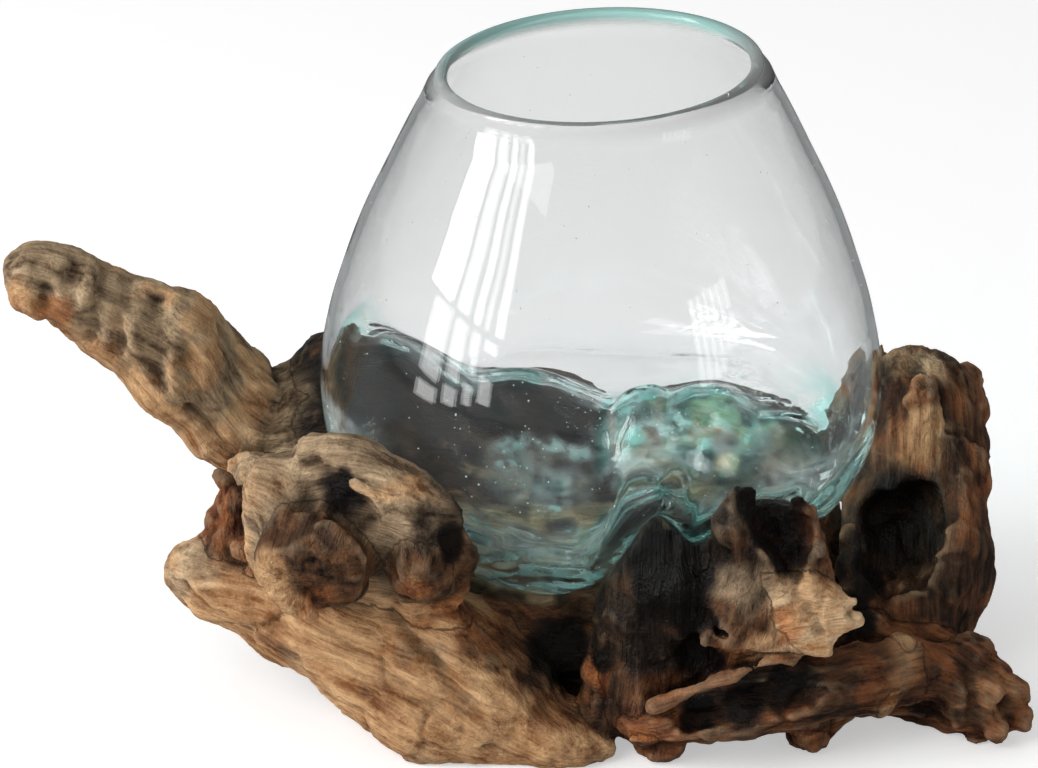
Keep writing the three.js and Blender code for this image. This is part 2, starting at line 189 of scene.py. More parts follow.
# %% Floor
def sort_of_ray(web, path):
    """Two values: 1 for a ray mirrored just once, and 1 for one that went straight through glass.

    A ray mirrored more than once was held inside the glass by its own edge, so it counts
    as straight through: that is what makes a bead or a fold shine instead of going black.
    """
    once = web.math("COMPARE", path["Glossy Depth"], 1.0)
    unscattered = web.math("LESS_THAN", path["Diffuse Depth"], 0.5)
    straight = web.times(web.times(path["Is Transmission Ray"], unscattered), web.less(1.0, once))
    return once, straight


floor_half, floor_drop = 4.0, 0.0003
floor_signs = ((-1, -1), (1, -1), (1, 1), (-1, 1))
floor_mesh = bpy.data.meshes.new("floor")
floor_mesh.from_pydata([(i * floor_half, j * floor_half, -floor_drop) for i, j in floor_signs], [], [(0, 1, 2, 3)])
floor = bpy.data.objects.new("floor", floor_mesh)
bpy.context.scene.collection.objects.link(floor)
floor_material, web = new_material("pale_floor")
path = web.add("LightPath").outputs
pale, mirrored = (0.80, 0.80, 0.80, 1.0), (0.20, 0.20, 0.20, 1.0)
glow_seen, glow_through = 0.44, 0.30
mirrored_once, straight = sort_of_ray(web, path)
matt = web.add("BsdfDiffuse", {"Color": web.mix(mirrored_once, pale, mirrored)})
glow_level = web.plus(web.times(path["Is Camera Ray"], glow_seen), web.times(straight, glow_through))
glow = web.add("Emission", {"Color": white, "Strength": glow_level})
total = web.add("AddShader", {0: matt.outputs[0], 1: glow.outputs[0]})
web.add("OutputMaterial", {"Surface": total.outputs[0]})
floor_mesh.materials.append(floor_material)
print("floor", 2 * floor_half, "m square")

# %% [markdown]
# The room is an even pale sky. Seen by the eye and through glass it is nearly white, and
# mirrored in the glass it is dim, so that the lamps show as crisp shapes on it.

# %% Sky
world = bpy.data.worlds.new("studio_sky")
world.use_nodes = True
bpy.context.scene.world = world
web = Web(world.node_tree)
path = web.add("LightPath").outputs
sky_level, seen_level, through_level, mirrored_level = 0.38, 1.0, 0.87, 0.26
mirrored_once, straight = sort_of_ray(web, path)
level = sky_level
for share, wanted in (
    (path["Is Camera Ray"], seen_level),
    (straight, through_level),
    (mirrored_once, mirrored_level),
):
    level = web.plus(web.times(share, wanted - sky_level), level)
sky = web.add("Background", {"Color": white, "Strength": level})
web.add("OutputWorld", {"Surface": sky.outputs[0]})
print("sky", sky_level)

# %% [markdown]
# The key light is a tall window at the left. The bulb's shoulder mirrors it as a curved
# white streak, so the window is made as the real one would be: tall panes in columns of
# unlike width, thin bars between them, and small panes below. Each pane is an area lamp
# with a brightness of its own, and its watts follow from that and its size. A small window
# at the right gives the second glint. A wide soft lamp above, which the glass doesn't
# mirror, fills the shadows.

# %% Windows and lamps
vase_middle = np.array([0.025, 0.003, 0.110])


def lamp(name, place, target, width, height, brightness):
    """A flat lamp that faces its target; watts are brightness times pi times its area."""
    data = bpy.data.lights.new(name, "AREA")
    data.shape = "RECTANGLE"
    data.size, data.size_y = width, height
    data.energy = brightness * math.pi * width * height
    body = bpy.data.objects.new(name, data)
    body.location = place
    body.rotation_euler = (Vector(target) - Vector(place)).to_track_quat("-Z", "Y").to_euler()
    bpy.context.scene.collection.objects.link(body)
    return body


def window(name, distance, columns, rows, brightness):
    """Panes between two azimuths and two elevations, in degrees, seen from the vase."""
    for c, (left, right) in enumerate(columns):
        for r, (bottom, top) in enumerate(rows):
            azimuth = math.radians((left + right) / 2)
            low_z, high_z = (distance * math.tan(math.radians(e)) for e in (bottom, top))
            out = np.array([math.sin(azimuth), -math.cos(azimuth), 0.0]) * distance
            place = vase_middle + out + np.array([0, 0, (low_z + high_z) / 2])
            width = distance * math.radians(right - left)
            lamp("%s_%d_%d" % (name, c, r), place, place - out, width, high_z - low_z, brightness)


key_distance, glint_distance = 1.6, 1.5
key_columns = [(-84, -70.5, 9.0), (-67, -61, 5.0), (-57.5, -54.5, 6.0), (-51.8, -49.8, 3.0), (-46.6, -43, 5.0)]
for left, right, brightness in key_columns:
    window("key_%d" % -left, key_distance, [(left, right)], [(12, 44)], brightness)
low_columns = [(-79, -69, -4.5), (-66, -60, -2.0), (-57, -53, 0.5), (-50.5, -45, 2.5)]
for left, right, bottom in low_columns:
    rows = [(bottom, bottom + 5), (bottom + 6.4, 10.6)]
    window("key_low_%d" % -left, key_distance, [(left, right)], rows, 4.0)
glint_columns = [(40 + 3.4 * k, 42.2 + 3.4 * k) for k in range(6)]
window("glint", glint_distance, glint_columns, [(7, 12.5), (13.2, 19)], 2.2)
overhead = lamp("overhead", (-0.80, -0.75, 1.15), (0.0, 0.0, 0.06), 0.8, 0.8, 2.7)
overhead.visible_glossy = False

# %% [markdown]
# Light that is caught inside a bead of glass bounces many times before it comes out, so
# paths may be longer than usual here, or the lip would be black.

# %% Longer light paths
bpy.context.scene.cycles.max_bounces = 24
bpy.context.scene.cycles.transmission_bounces = 24
bpy.context.scene.cycles.glossy_bounces = 16
bpy.context.scene.cycles.transparent_max_bounces = 24

# %% [markdown]
# ## The shape of the vase
# The bulb is a body of revolution: its outline is given as angle and distance from a
# point high on the axis, and a cubic curve runs through it. The wood under it is a height
# map of rounded humps. The vase is what lies inside the bulb and above the wood, with a
# soft crease where the two meet. One number says how far any point is outside that body.

# %% Driving sizes, in mm
bulb_radius = 82.3
rim_radius = 46.5
equator_height = 82.0
shoulder_height = 101.0
belly_depth = 51.0
wall_thickness = 2.3
base_thickness = 4.6
bead_radius = 1.9
rim_tilt = 2.6
neck_lean = 1.6
vase_x = 24.0
seat_gap = 0.3
crease_radius = 9.0
hump_blend = 4.0
sight_height = equator_height + 0.28 * shoulder_height

# shares of radius and height, from the rim to the widest ring and from there to the bottom
shoulder_outline = np.array(
    [[0.15, 0.11], [0.38, 0.27], [0.58, 0.416], [0.775, 0.594], [0.92, 0.762], [0.993, 0.901]]
)
belly_outline = np.array([[0.981, 0.216], [0.922, 0.431], [0.819, 0.637], [0.667, 0.804], [0.461, 0.922]])
outline = np.vstack(
    [
        [[rim_radius, equator_height + shoulder_height]],
        np.column_stack(
            [
                rim_radius + (bulb_radius - rim_radius) * shoulder_outline[:, 0],
                equator_height + shoulder_height * (1 - shoulder_outline[:, 1]),
            ]
        ),
        [[bulb_radius, equator_height]],
        np.column_stack([bulb_radius * belly_outline[:, 0], equator_height - belly_depth * belly_outline[:, 1]]),
        [[0.0, equator_height - belly_depth]],
    ]
)
knot_angle = np.arctan2(outline[:, 0], outline[:, 1] - sight_height)
knot_distance = np.hypot(outline[:, 0], outline[:, 1] - sight_height)
knot_slope = np.zeros(len(outline))
knot_slope[1:-1] = (knot_distance[2:] - knot_distance[:-2]) / (knot_angle[2:] - knot_angle[:-2])
knot_slope[0] = (knot_distance[1] - knot_distance[0]) / (knot_angle[1] - knot_angle[0])
print("outline points", len(outline))

# %% [markdown]
# Nothing here is even, neither the glass nor the wood. All unevenness comes from one
# smooth random value: random numbers at the corners of unit cubes, blended across each
# cube by a curve whose slope and bend are zero at both ends, so that glass shows no seam.

# %% Smooth random value
dice_side = 32  # a power of two, so that the bits of a number wrap it round
wrap = dice_side - 1
dice = np.random.default_rng(7).uniform(-1, 1, (dice_side, dice_side, dice_side))
eight_corners = [(i, j, k) for i in (0, 1) for j in (0, 1) for k in (0, 1)]


def speckle(p, turn=0):
    """Value noise at points (..., 3): blends of the eight corner numbers round each one."""
    p = p + 7.31 * turn
    corner = np.floor(p).astype(np.int64)
    f = p - corner
    f = f**3 * (f * (6 * f - 15) + 10)
    corner &= wrap
    total = 0.0
    for i, j, k in eight_corners:
        weight = (
            (f[..., 0] if i else 1 - f[..., 0])
            * (f[..., 1] if j else 1 - f[..., 1])
            * (f[..., 2] if k else 1 - f[..., 2])
        )
        place = (corner[..., 0] + i) & wrap, (corner[..., 1] + j) & wrap, (corner[..., 2] + k) & wrap
        total = total + weight * dice[place]
    return total


def creases(p, turn=0):
    """0 to 1: sharp crests where the smooth random value is zero, in three scales."""
    total = 0.0
    for scale, share in ((1, 0.58), (2.1, 0.28), (4.3, 0.14)):
        total = total + share * np.maximum(0, 1 - 2.4 * np.abs(speckle(p * scale, turn + scale))) ** 2
    return total


print("noise spread", round(float(speckle(np.random.default_rng(1).uniform(0, 32, (4000, 3))).std()), 3))

# %% [markdown]
# The glass rests on ten humps: the mound at the back left, the lumps at the right of the
# middle, the plain behind them, and the ridge that dents its front. Each has a place, the
# height of its top, two half sizes, how far it falls away at those, and a turn.

# %% Humps of the wood under the glass
# x, y, top, half length, half width, fall, turn in degrees
humps = np.array(
    [
        [-48, 24, 86, 24, 20, 26, -8],
        [0, 27, 69, 25, 15, 26, -4],
        [38, 20, 66, 9, 10, 18, 0],
        [57, 19, 70, 13, 12, 22, -10],
        [77, 12, 60, 13, 13, 16, -20],
        [2, 58, 61, 40, 28, 14, 0],
        [67, 42, 63, 34, 26, 14, -35],
        [96, 0, 55, 20, 26, 12, 0],
        [39, -90, 82.5, 24, 5.8, 17.5, 91],
        [68, -72, 73.5, 22, 18, 18, 8],
    ],
    float,
)
slope_step = 0.5
print("humps", len(humps))

# %% [markdown]
# Now the one number. It is worked out in three steps: how far a point is beyond the bulb,
# how far it is below the wood, and the larger of the two with a soft crease.

# %% The field of the vase
def bulb_distance(angle):
    """Cubic Hermite curve: two ends and two slopes, weighted by cubics of the share between."""
    i = np.clip(np.searchsorted(knot_angle, angle) - 1, 0, len(knot_angle) - 2)
    span = knot_angle[i + 1] - knot_angle[i]
    t = (angle - knot_angle[i]) / span
    return (
        (1 + 2 * t) * (1 - t) ** 2 * knot_distance[i]
        + t * (1 - t) ** 2 * span * knot_slope[i]
        + t * t * (3 - 2 * t) * knot_distance[i + 1]
        + t * t * (t - 1) * span * knot_slope[i + 1]
    )


def soft_spot(x, y, middle, spread):
    """1 at the middle, falling as exp(-(dx / spread x)^2 - (dy / spread y)^2)."""
    return np.exp(-(((x - middle[0]) / spread[0]) ** 2) - ((y - middle[1]) / spread[1]) ** 2)


def dents(x, y):
    """Smooth random value in two scales: the small hollows and knots that the glass printed."""
    x, y = np.broadcast_arrays(x, y)
    p = np.stack([x, y, 0 * x], -1)
    curl = 1.8 * soft_spot(x, y, (58, 8), (26, 20)) * speckle(p / 6.5, 14)
    return np.clip((42 - y) / 20, 0, 1) * (1.5 * speckle(p / 15.0, 11) + 0.8 * speckle(p / 8.0, 12) + curl)


def wood_height(x, y):
    """Each hump is top - fall * (sqrt(1 + u^2 + v^2) - 1); a log of summed powers blends them."""
    heights = []
    for hx, hy, top, along, across, fall, turn in humps:
        c, s = math.cos(math.radians(turn)), math.sin(math.radians(turn))
        u = ((x - hx) * c + (y - hy) * s) / along
        v = ((y - hy) * c - (x - hx) * s) / across
        heights.append(top - fall * (np.sqrt(1 + u * u + v * v) - 1))
    highest = np.maximum.reduce(heights)
    return highest + hump_blend * np.log(sum(np.exp((h - highest) / hump_blend) for h in heights)) + dents(x, y)


def beyond_bulb(x, y, z):
    """Distance from the sight point less the outline's, made a true distance by its steepness."""
    dx, dz = np.hypot(x - vase_x, y), z - sight_height
    angle = np.arctan2(dx, dz)
    skin = bulb_distance(angle)
    steep = (bulb_distance(np.minimum(angle + 0.01, np.pi)) - skin) / 0.01 / skin
    return (np.hypot(dx, dz) - skin) / np.hypot(1, steep)


def wood_and_steepness(x, y):
    """The height map, and sqrt(1 + slope x^2 + slope y^2) of it."""
    height = wood_height(x, y)
    slope_x = (wood_height(x + slope_step, y) - height) / slope_step
    slope_y = (wood_height(x, y + slope_step) - height) / slope_step
    return height, np.sqrt(1 + slope_x**2 + slope_y**2)


def below_wood(x, y, z):
    """Depth under the height map, divided by its steepness."""
    height, steep = wood_and_steepness(x, y)
    return (height - z) / steep


def soft_max(a, b, soft):
    """The larger of two, plus h^2 * soft / 4 where they are closer than soft; h is that closeness."""
    h = np.maximum(soft - np.abs(a - b), 0) / soft
    return np.maximum(a, b) + h * h * soft / 4


def vase_field(x, y, z):
    """Negative inside the slumped bulb, positive outside, close to millimetres."""
    return soft_max(beyond_bulb(x, y, z), below_wood(x, y, z), crease_radius)


def thickness_at(z):
    """The wall grows from the widest ring to the bottom by an s-curve of depth."""
    t = np.clip((equator_height - z + 0.1 * belly_depth) / (0.9 * belly_depth), 0, 1)
    return wall_thickness + (base_thickness - wall_thickness) * t * t * (3 - 2 * t)


print("field at the sight point", round(float(vase_field(vase_x, 0.1, sight_height)), 1))

# %% [markdown]
# The low part of the glass folded over the wood while it was soft. Its inner face has
# ripples that bend the light into ribbons: a random part, terraces that follow the height,
# as the glass sagged, and a swirl over the lumps at the right.

# %% Ripples inside
def ripple(x, y, z, seed):
    """About two millimetres, only below the widest ring: waves 18 and 8 mm long, rings, a swirl."""
    low_part = np.clip((equator_height - 2 - z) / 26.0, 0, 1)
    p = np.stack([x, y, z], -1)
    rings = np.sin(2 * np.pi * z / 9.0 + 6 * speckle(p / 26.0, seed + 2))
    swirl = soft_spot(x, y, (60, 4), (24, 24)) * speckle(p / 6.0, seed + 5)
    waves = 1.5 * speckle(p / 18.0, seed) + 0.5 * speckle(p / 8.5, seed + 1)
    return low_part * (waves + 0.12 * rings + 0.9 * swirl)


def inner_level(x, y, z):
    """Zero on the inner face: the field, plus the wall there, plus the ripples."""
    return vase_field(x, y, z) + thickness_at(z) + ripple(x, y, z, 3)


print("wall at the bottom in mm", round(float(thickness_at(0.0)), 2))

# %% [markdown]
# ## The glass wall
# Every point of the skin can be seen from the sight point. So the skin is a function of
# two parameters, the angle down from the top and the angle round the axis: walk along
# that ray until the field crosses zero, then halve the last step until it is exact.

# %% Skin of the vase
halvings = 22


def skin_points(angle, around, level, start, step):
    """Walks out from distance start in equal steps to the first crossing, then halves the last one."""
    way = np.stack([np.sin(angle) * np.cos(around), np.sin(angle) * np.sin(around), np.cos(angle)], -1)
    sight = np.array([vase_x, 0.0, sight_height])
    near = start.copy()
    walking = np.ones(near.shape, bool)
    while walking.any():
        p = sight + way[walking] * (near[walking] + step)[..., None]
        inside = level(p[..., 0], p[..., 1], p[..., 2]) < 0
        ahead = near[walking]
        ahead[inside] += step
        near[walking] = ahead
        spot = np.argwhere(walking)
        walking[tuple(spot[~inside].T)] = False
    far = near + step
    for _ in range(halvings):
        middle = (near + far) / 2
        p = sight + way * middle[..., None]
        inside = level(p[..., 0], p[..., 1], p[..., 2]) < 0
        near, far = np.where(inside, middle, near), np.where(inside, far, middle)
    return sight + way * near[..., None], near


def outward(level, p):
    """Unit slope of a level by differences of 0.2 mm: the true normal of its surface."""
    e = 0.2
    slopes = [level(*np.moveaxis(p + d, -1, 0)) - level(*np.moveaxis(p - d, -1, 0)) for d in np.eye(3) * e]
    return unit(np.stack(slopes, -1))


def settle_rim(p):
    """Above the widest ring the neck leans left and the mouth tilts up to the right."""
    up = np.maximum(0, (p[..., 2] - equator_height) / shoulder_height)
    out = p.copy()
    out[..., 0] -= neck_lean * up
    out[..., 2] += rim_tilt * up * (p[..., 0] - vase_x) / rim_radius
    return out


glass_rows, glass_sides, bead_rows = 176, 256, 9
below_lip = 0.06
deepest_wall = 16
rim_angle = knot_angle[0] + below_lip
turns = np.arange(glass_sides) * 2 * np.pi / glass_sides
falls = np.pi + (rim_angle - np.pi) * np.linspace(0, 1, glass_rows)
fall_grid, turn_grid = np.meshgrid(falls, turns, indexing="ij")
outside, reach_out = skin_points(fall_grid, turn_grid, vase_field, np.zeros(fall_grid.shape), 4.0)
inside, _ = skin_points(fall_grid, turn_grid, inner_level, np.maximum(reach_out - deepest_wall, 0), 1.0)
outside_normal = outward(vase_field, outside)
inside_normal = -outward(inner_level, inside)
print("glass grid", outside.shape, "lowest z", round(float(outside[..., 2].min()), 1))

# %% [markdown]
# The lip was melted round in the fire, so it is a bead: a half circle carried round the
# mouth. It joins the outer skin to the inner one, and the mesh is closed at the two
# bottom poles, so the glass is one solid wall that light can enter and leave.

# %% The bead and the closed mesh
def closed_grid(points, normals):
    """Rows of rings joined by quads, with the first and the last ring drawn to one point each."""
    rows, sides = points.shape[:2]
    flat = np.vstack([points[0].mean(0), points[1:-1].reshape(-1, 3), points[-1].mean(0)])
    first, last = normals[0].mean(0), normals[-1].mean(0)
    normal = np.vstack([first, normals[1:-1].reshape(-1, 3), last])
    ring = np.arange((rows - 2) * sides).reshape(rows - 2, sides) + 1
    here, right = ring, np.roll(ring, -1, axis=1)
    quads = np.stack([here[:-1], right[:-1], right[1:], here[1:]], -1).reshape(-1, 4)
    top = np.stack([np.zeros(sides, int), right[0], here[0]], -1)
    end = np.stack([np.full(sides, len(flat) - 1), here[-1], right[-1]], -1)
    return flat, normal, [quads, np.vstack([top, end])]


bead_turn = np.linspace(0, np.pi, bead_rows)[:, None]
bead_out = (rim_radius - bead_radius) + bead_radius * np.cos(bead_turn)
bead_up = equator_height + shoulder_height - bead_radius + bead_radius * np.sin(bead_turn) + 0 * turns
cos_turn, sin_turn = np.cos(turns), np.sin(turns)
bead = np.stack([vase_x + bead_out * cos_turn, bead_out * sin_turn, bead_up], -1)
bead_normal = np.stack(
    [np.cos(bead_turn) * cos_turn, np.cos(bead_turn) * sin_turn, np.sin(bead_turn) + 0 * turns], -1
)
wall = settle_rim(np.concatenate([outside, bead, inside[::-1]]))
wall_normal = np.concatenate([outside_normal, bead_normal, inside_normal[::-1]])
glass_points, glass_normals, glass_faces = closed_grid(wall, wall_normal)


def volume_of(points, faces):
    """Six times a solid's volume is the sum of the triple products of its triangles."""
    total = 0.0
    for f in faces:
        for k in range(1, f.shape[1] - 1):
            a, b, c = points[f[:, 0]], points[f[:, k]], points[f[:, k + 1]]
            total += np.einsum("ij,ij->i", a, np.cross(b, c)).sum() / 6
    return total


if volume_of(glass_points, glass_faces) < 0:
    glass_faces = [f[:, ::-1] for f in glass_faces]
print("glass volume cm3", round(volume_of(glass_points, glass_faces) / 1000, 1))


def make_piece(name, points, faces, normals=None, body="root", replaces=()):
    """Puts whole arrays of points and faces into one mesh, smooth, at the origin, on its body."""
    mesh = bpy.data.meshes.new(name)
    corners = np.concatenate([f.ravel() for f in faces]).astype(np.int32)
    sizes = np.concatenate([np.full(len(f), f.shape[1]) for f in faces])
    starts = (np.cumsum(sizes) - sizes).astype(np.int32)
    mesh.vertices.add(len(points))
    mesh.vertices.foreach_set("co", points.astype(np.float32).ravel())
    mesh.loops.add(len(corners))
    mesh.loops.foreach_set("vertex_index", corners)
    mesh.polygons.add(len(sizes))
    mesh.polygons.foreach_set("loop_start", starts)
    mesh.polygons.foreach_set("use_smooth", np.ones(len(sizes), bool))
    mesh.update(calc_edges=True)
    if mesh.validate():
        print("mended faces in", name)
    elif normals is not None:
        mesh.normals_split_custom_set_from_vertices(normals.astype(np.float32))
    piece = bpy.data.objects.new(name, mesh)
    bpy.context.scene.collection.objects.link(piece)
    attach(piece, body)
    if replaces:
        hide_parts(*replaces)
    return piece


def give(piece, name, values):
    """Stores one number, or one vector, for each point of a piece, where its material finds it."""
    kind, field = ("FLOAT", "value") if values.ndim == 1 else ("FLOAT_VECTOR", "vector")
    layer = piece.data.attributes.new(name, kind, "POINT")
    layer.data.foreach_set(field, values.astype(np.float32).ravel())


vase_glass = make_piece(
    "vase_glass", metres(glass_points), glass_faces, glass_normals, "vase", ["glass_vessel"]
)

# %% [markdown]
# ## Glass finish
# Clear glass is hardly a colour at all. The aqua comes from iron in the melt and shows
# only where light goes a long way through it: in the lip, the folds and the thick bottom.
# So the volume absorbs very little, and a value on the surface, from the wall's own
# thickness and from how sharply the glass is folded, tints the thick places. The wall also
# guides light up to the lip, where it comes out; that glow is painted light: the lip gets a
# pale colour, beige at the front and aqua at the back, and lets less light through.
# Ribbons of the same aqua are painted light in the folds over the wood, where light caught
# in the thick glass would shine. They are lines through a few stations, x, y, z in mm, with
# a radius and a strength, and wide ones are faint veils of painted light over shaded wood.

# %% Where the glass is thick or folded
def fold_of(p):
    """How far the field's mean over six points 3 mm away is from its own value: the bend."""
    centre = vase_field(*p.T)
    around = [vase_field(*(p + d).T) for e in np.eye(3) * 3.0 for d in (e, -e)]
    return np.mean(around, axis=0) - centre


x, y, z = glass_points.T
slumped = (z < equator_height + 12) & (np.hypot(x - vase_x, y) < 90)
tint = np.zeros(len(glass_points))
nearer = np.clip((46 - y[slumped]) / 20, 0, 1)
tint[slumped] = nearer * np.clip(np.abs(fold_of(glass_points[slumped])) * 5.0 - 0.3, 0, 1.0)
deep = np.clip((equator_height - 24 - z) / 22.0, 0, 1)
tint = np.maximum(tint, 0.35 * deep)
curled = soft_spot(x, y, (58, 8), (28, 22)) * (z < 90)
tint = np.clip(tint + curled * np.clip(0.35 + 1.2 * speckle(glass_points / 7.0, 27), 0, 0.8), 0, 1)
# Painted light: the lip's glow, strongest at the very lip and more at the back.
from_lip = equator_height + shoulder_height - (z - rim_tilt * (x - vase_x) / rim_radius)
backward = np.clip(0.60 + y / 70.0, 0.0, 1)
lip_glow = np.clip(1.7 - from_lip / (2.0 + 1.8 * backward), 0, 1) * (0.26 + 0.74 * backward)
print("tinted share", round(float((tint > 0.3).mean()), 3))

# %% Ribbons of painted light
ribbons = [
    (2.6, 1.0, [[-9, 4, 55], [-5, 7, 57], [0, 10, 57.5], [9, 10, 56.5], [15, 8, 55], [19, 10, 53]]),
    (2.4, 1.0, [[-8, 1, 53], [-2, 3, 53]]),
    (3.0, 1.0, [[-3, -4, 48], [-2, -5, 47]]),
    (2.0, 1.0, [[10, -7, 42], [12, -8, 41]]),
    (1.8, 1.0, [[15, -18, 38], [21, -20, 38], [26, -19, 40]]),
    (1.7, 1.0, [[-22, -18, 46], [-14, -23, 40], [-6, -26, 37], [6, -30, 35], [16, -29, 35],
                [24, -31, 40], [31, -21, 45], [38, -5, 48], [45, 0, 52], [53, 3, 55]]),
    (1.3, 1.0, [[-18, -28, 42], [-6, -34, 37], [6, -39, 36], [18, -37, 37], [27, -36, 43],
                [33, -26, 48], [40, -12, 50], [48, -6, 53]]),
    (1.2, 1.0, [[-14, -16, 41], [-2, -20, 37], [10, -22, 35], [22, -22, 38], [30, -12, 43],
                [36, 2, 47], [44, 8, 53]]),
    (1.5, 1.0, [[44, -34, 58], [52, -36, 52], [62, -34, 50], [74, -32, 50], [84, -26, 52]]),
    (1.3, 1.0, [[46, -26, 56], [56, -27, 51], [68, -25, 50], [80, -20, 52]]),
    (2.4, 1.0, [[28, 12, 58], [32, 16, 62], [37, 20, 66.5], [45, 21, 69.5], [56, 20, 71],
                [65, 18, 68.5], [75, 17, 63], [82, 14, 59]]),
    (3.0, 1.0, [[34, 9, 58], [39, 12, 61], [44, 8, 62]]),
    (2.8, 1.0, [[50, 6, 60], [55, 7, 62], [61, 8, 63.5], [67, 6, 60]]),
    (2.2, 1.0, [[46, 14, 66], [52, 10, 64], [56, 3, 58]]),
    (2.4, 1.0, [[91, 18, 65], [93, 26, 60], [94, 31, 56]]),
    (1.8, 1.0, [[-58, 28, 83], [-48, 27, 86], [-36, 25, 82.5], [-22, 27, 77], [-6, 30, 70.5],
                [12, 28, 68], [24, 22, 63]]),
    (17, 0.42, [[-8, -36, 38], [8, -40, 36], [20, -38, 38]]),
    (15, 0.36, [[60, -30, 50], [76, -30, 51], [88, -16, 54]]),
    (11, 0.40, [[-50, -30, 88], [-54, -18, 78], [-52, -16, 66]]),
    (10, 0.34, [[-2, 0, 50], [10, -2, 47]]),
    (12, 0.40, [[34, 6, 58], [50, 6, 61], [66, 8, 60]]),
    (4, 0.8, [[-33, 22, 77], [-24, 20, 72], [-16, 22, 70]]),
]


def near_ribbon(p, radius, stations):
    """1 on the line through the stations, falling to 0 at its radius, broken up by random value."""
    stations = np.asarray(stations, float)
    far = np.full(len(p), 99.0)
    for a, b in zip(stations[:-1], stations[1:]):
        t = np.clip((p - a) @ (b - a) / ((b - a) @ (b - a)), 0, 1)
        far = np.minimum(far, np.linalg.norm(p - a - t[:, None] * (b - a), axis=1))
    broken = 0.62 + 0.9 * speckle(p / 3.0, 33) + 0.5 * speckle(p / 1.6, 34)
    return np.clip(1.45 - far / radius, 0, 1) * np.clip(broken, 0.12, 1)


# Painted light: each point's share of the ribbons' pale aqua.
ribbon_glow = np.zeros(len(glass_points))
low_glass = z < equator_height + 8
for radius, strength, stations in ribbons:
    here = strength * near_ribbon(glass_points[low_glass], radius, stations)
    ribbon_glow[low_glass] = np.maximum(ribbon_glow[low_glass], here)
give(vase_glass, "tint", tint)
give(vase_glass, "lip_glow", np.column_stack([lip_glow, lip_glow * backward, ribbon_glow]))
print("ribbons", len(ribbons))

# %% Glass finish
thick_colour, ribbon_glow_colour = (0.46, 0.88, 0.84, 1.0), (0.60, 0.90, 0.86, 1.0)
front_lip_glow, back_lip_glow = (0.66, 0.61, 0.59, 1.0), (0.44, 0.74, 0.70, 1.0)
glass_material, web = new_material("clear_blown_glass")
tint_value = web.add("Attribute", attribute_name="tint").outputs["Fac"]
lip_glow_value, backward_value, ribbon_glow_value = web.parts_of("lip_glow")
body_colour = web.mix(tint_value, white, thick_colour)
# Painted light: the lip's glow is a pale colour on the glass, beige at the front and aqua at the back.
body_colour = web.mix(lip_glow_value, body_colour, web.mix(backward_value, front_lip_glow, back_lip_glow))
# Painted light: the ribbons' pale aqua.
body_colour = web.mix(ribbon_glow_value, body_colour, ribbon_glow_colour)
# Where the painted light lies, less light goes through the glass, so the pale colour shows.
glow_share = web.plus(web.times(lip_glow_value, 0.55), web.times(ribbon_glow_value, 0.50))
glass = web.add(
    "BsdfPrincipled",
    {"Base Color": body_colour, "Roughness": 0.0, "IOR": 1.5, "Transmission Weight": web.less(1.0, glow_share)},
)
wave = web.add("TexNoise", {"Vector": web.add("TexCoord").outputs["Object"], "Scale": 55.0, "Detail": 2.0})
waviness = web.add("Bump", {"Height": wave.outputs["Fac"], "Strength": 0.10, "Distance": 0.0004})
web.fill(glass.inputs["Normal"], waviness.outputs[0])
pass_light = web.add("BsdfTransparent", {"Color": (0.93, 0.96, 0.955, 1.0)})
shadow = web.add("LightPath").outputs["Is Shadow Ray"]
both = web.add("MixShader", {0: shadow, 1: glass.outputs[0], 2: pass_light.outputs[0]})
absorb = web.add("VolumeAbsorption", {"Color": (0.25, 0.88, 0.84, 1.0), "Density": 6.0})
web.add("OutputMaterial", {"Surface": both.outputs[0], "Volume": absorb.outputs[0]})
vase_glass.data.materials.append(glass_material)
print("glass triangles", sum(len(p.vertices) - 2 for p in vase_glass.data.polygons))

# %% [markdown]
# ## Seeds
# Hand-blown glass holds seeds, tiny bubbles of air that catch the light as white points,
# most of them low down where the melt was thickest. They are little balls with their
# centres inside the wall, hundreds of copies of one ball of 80 triangles. Their glint is
# painted: the balls are given a white colour and let little light through.

# %% Seeds in the wall
def seed_shape():
    """The 12 corners of an icosahedron, split once: 42 points and 80 triangles on a unit ball."""
    g = (1 + 5**0.5) / 2
    corners = np.array([[a, b * g, 0] for a in (-1, 1) for b in (-1, 1)], float)
    corners = unit(np.vstack([corners, corners[:, [2, 0, 1]], corners[:, [1, 2, 0]]]))
    gap = np.linalg.norm(corners[:, None] - corners[None], axis=2)
    close = (gap > 0.1) & (gap < 1.2)
    faces = [
        [a, b, c]
        for a in range(12)
        for b in range(a + 1, 12)
        for c in range(b + 1, 12)
        if close[a, b] and close[b, c] and close[a, c]
    ]
    middles = {}
    points = list(corners)
    split = []
    for face in faces:
        a, b, c = corners[face]
        if np.dot(np.cross(b - a, c - a), a) < 0:
            face = face[::-1]
        half = []
        for a, b in zip(face, face[1:] + face[:1]):
            key = (min(a, b), max(a, b))
            if key not in middles:
                middles[key] = len(points)
                points.append(unit(corners[a] + corners[b]))
            half.append(middles[key])
        split += [(face[k], half[k], half[k - 1]) for k in range(3)] + [tuple(half)]
    return np.array(points), np.array(split)


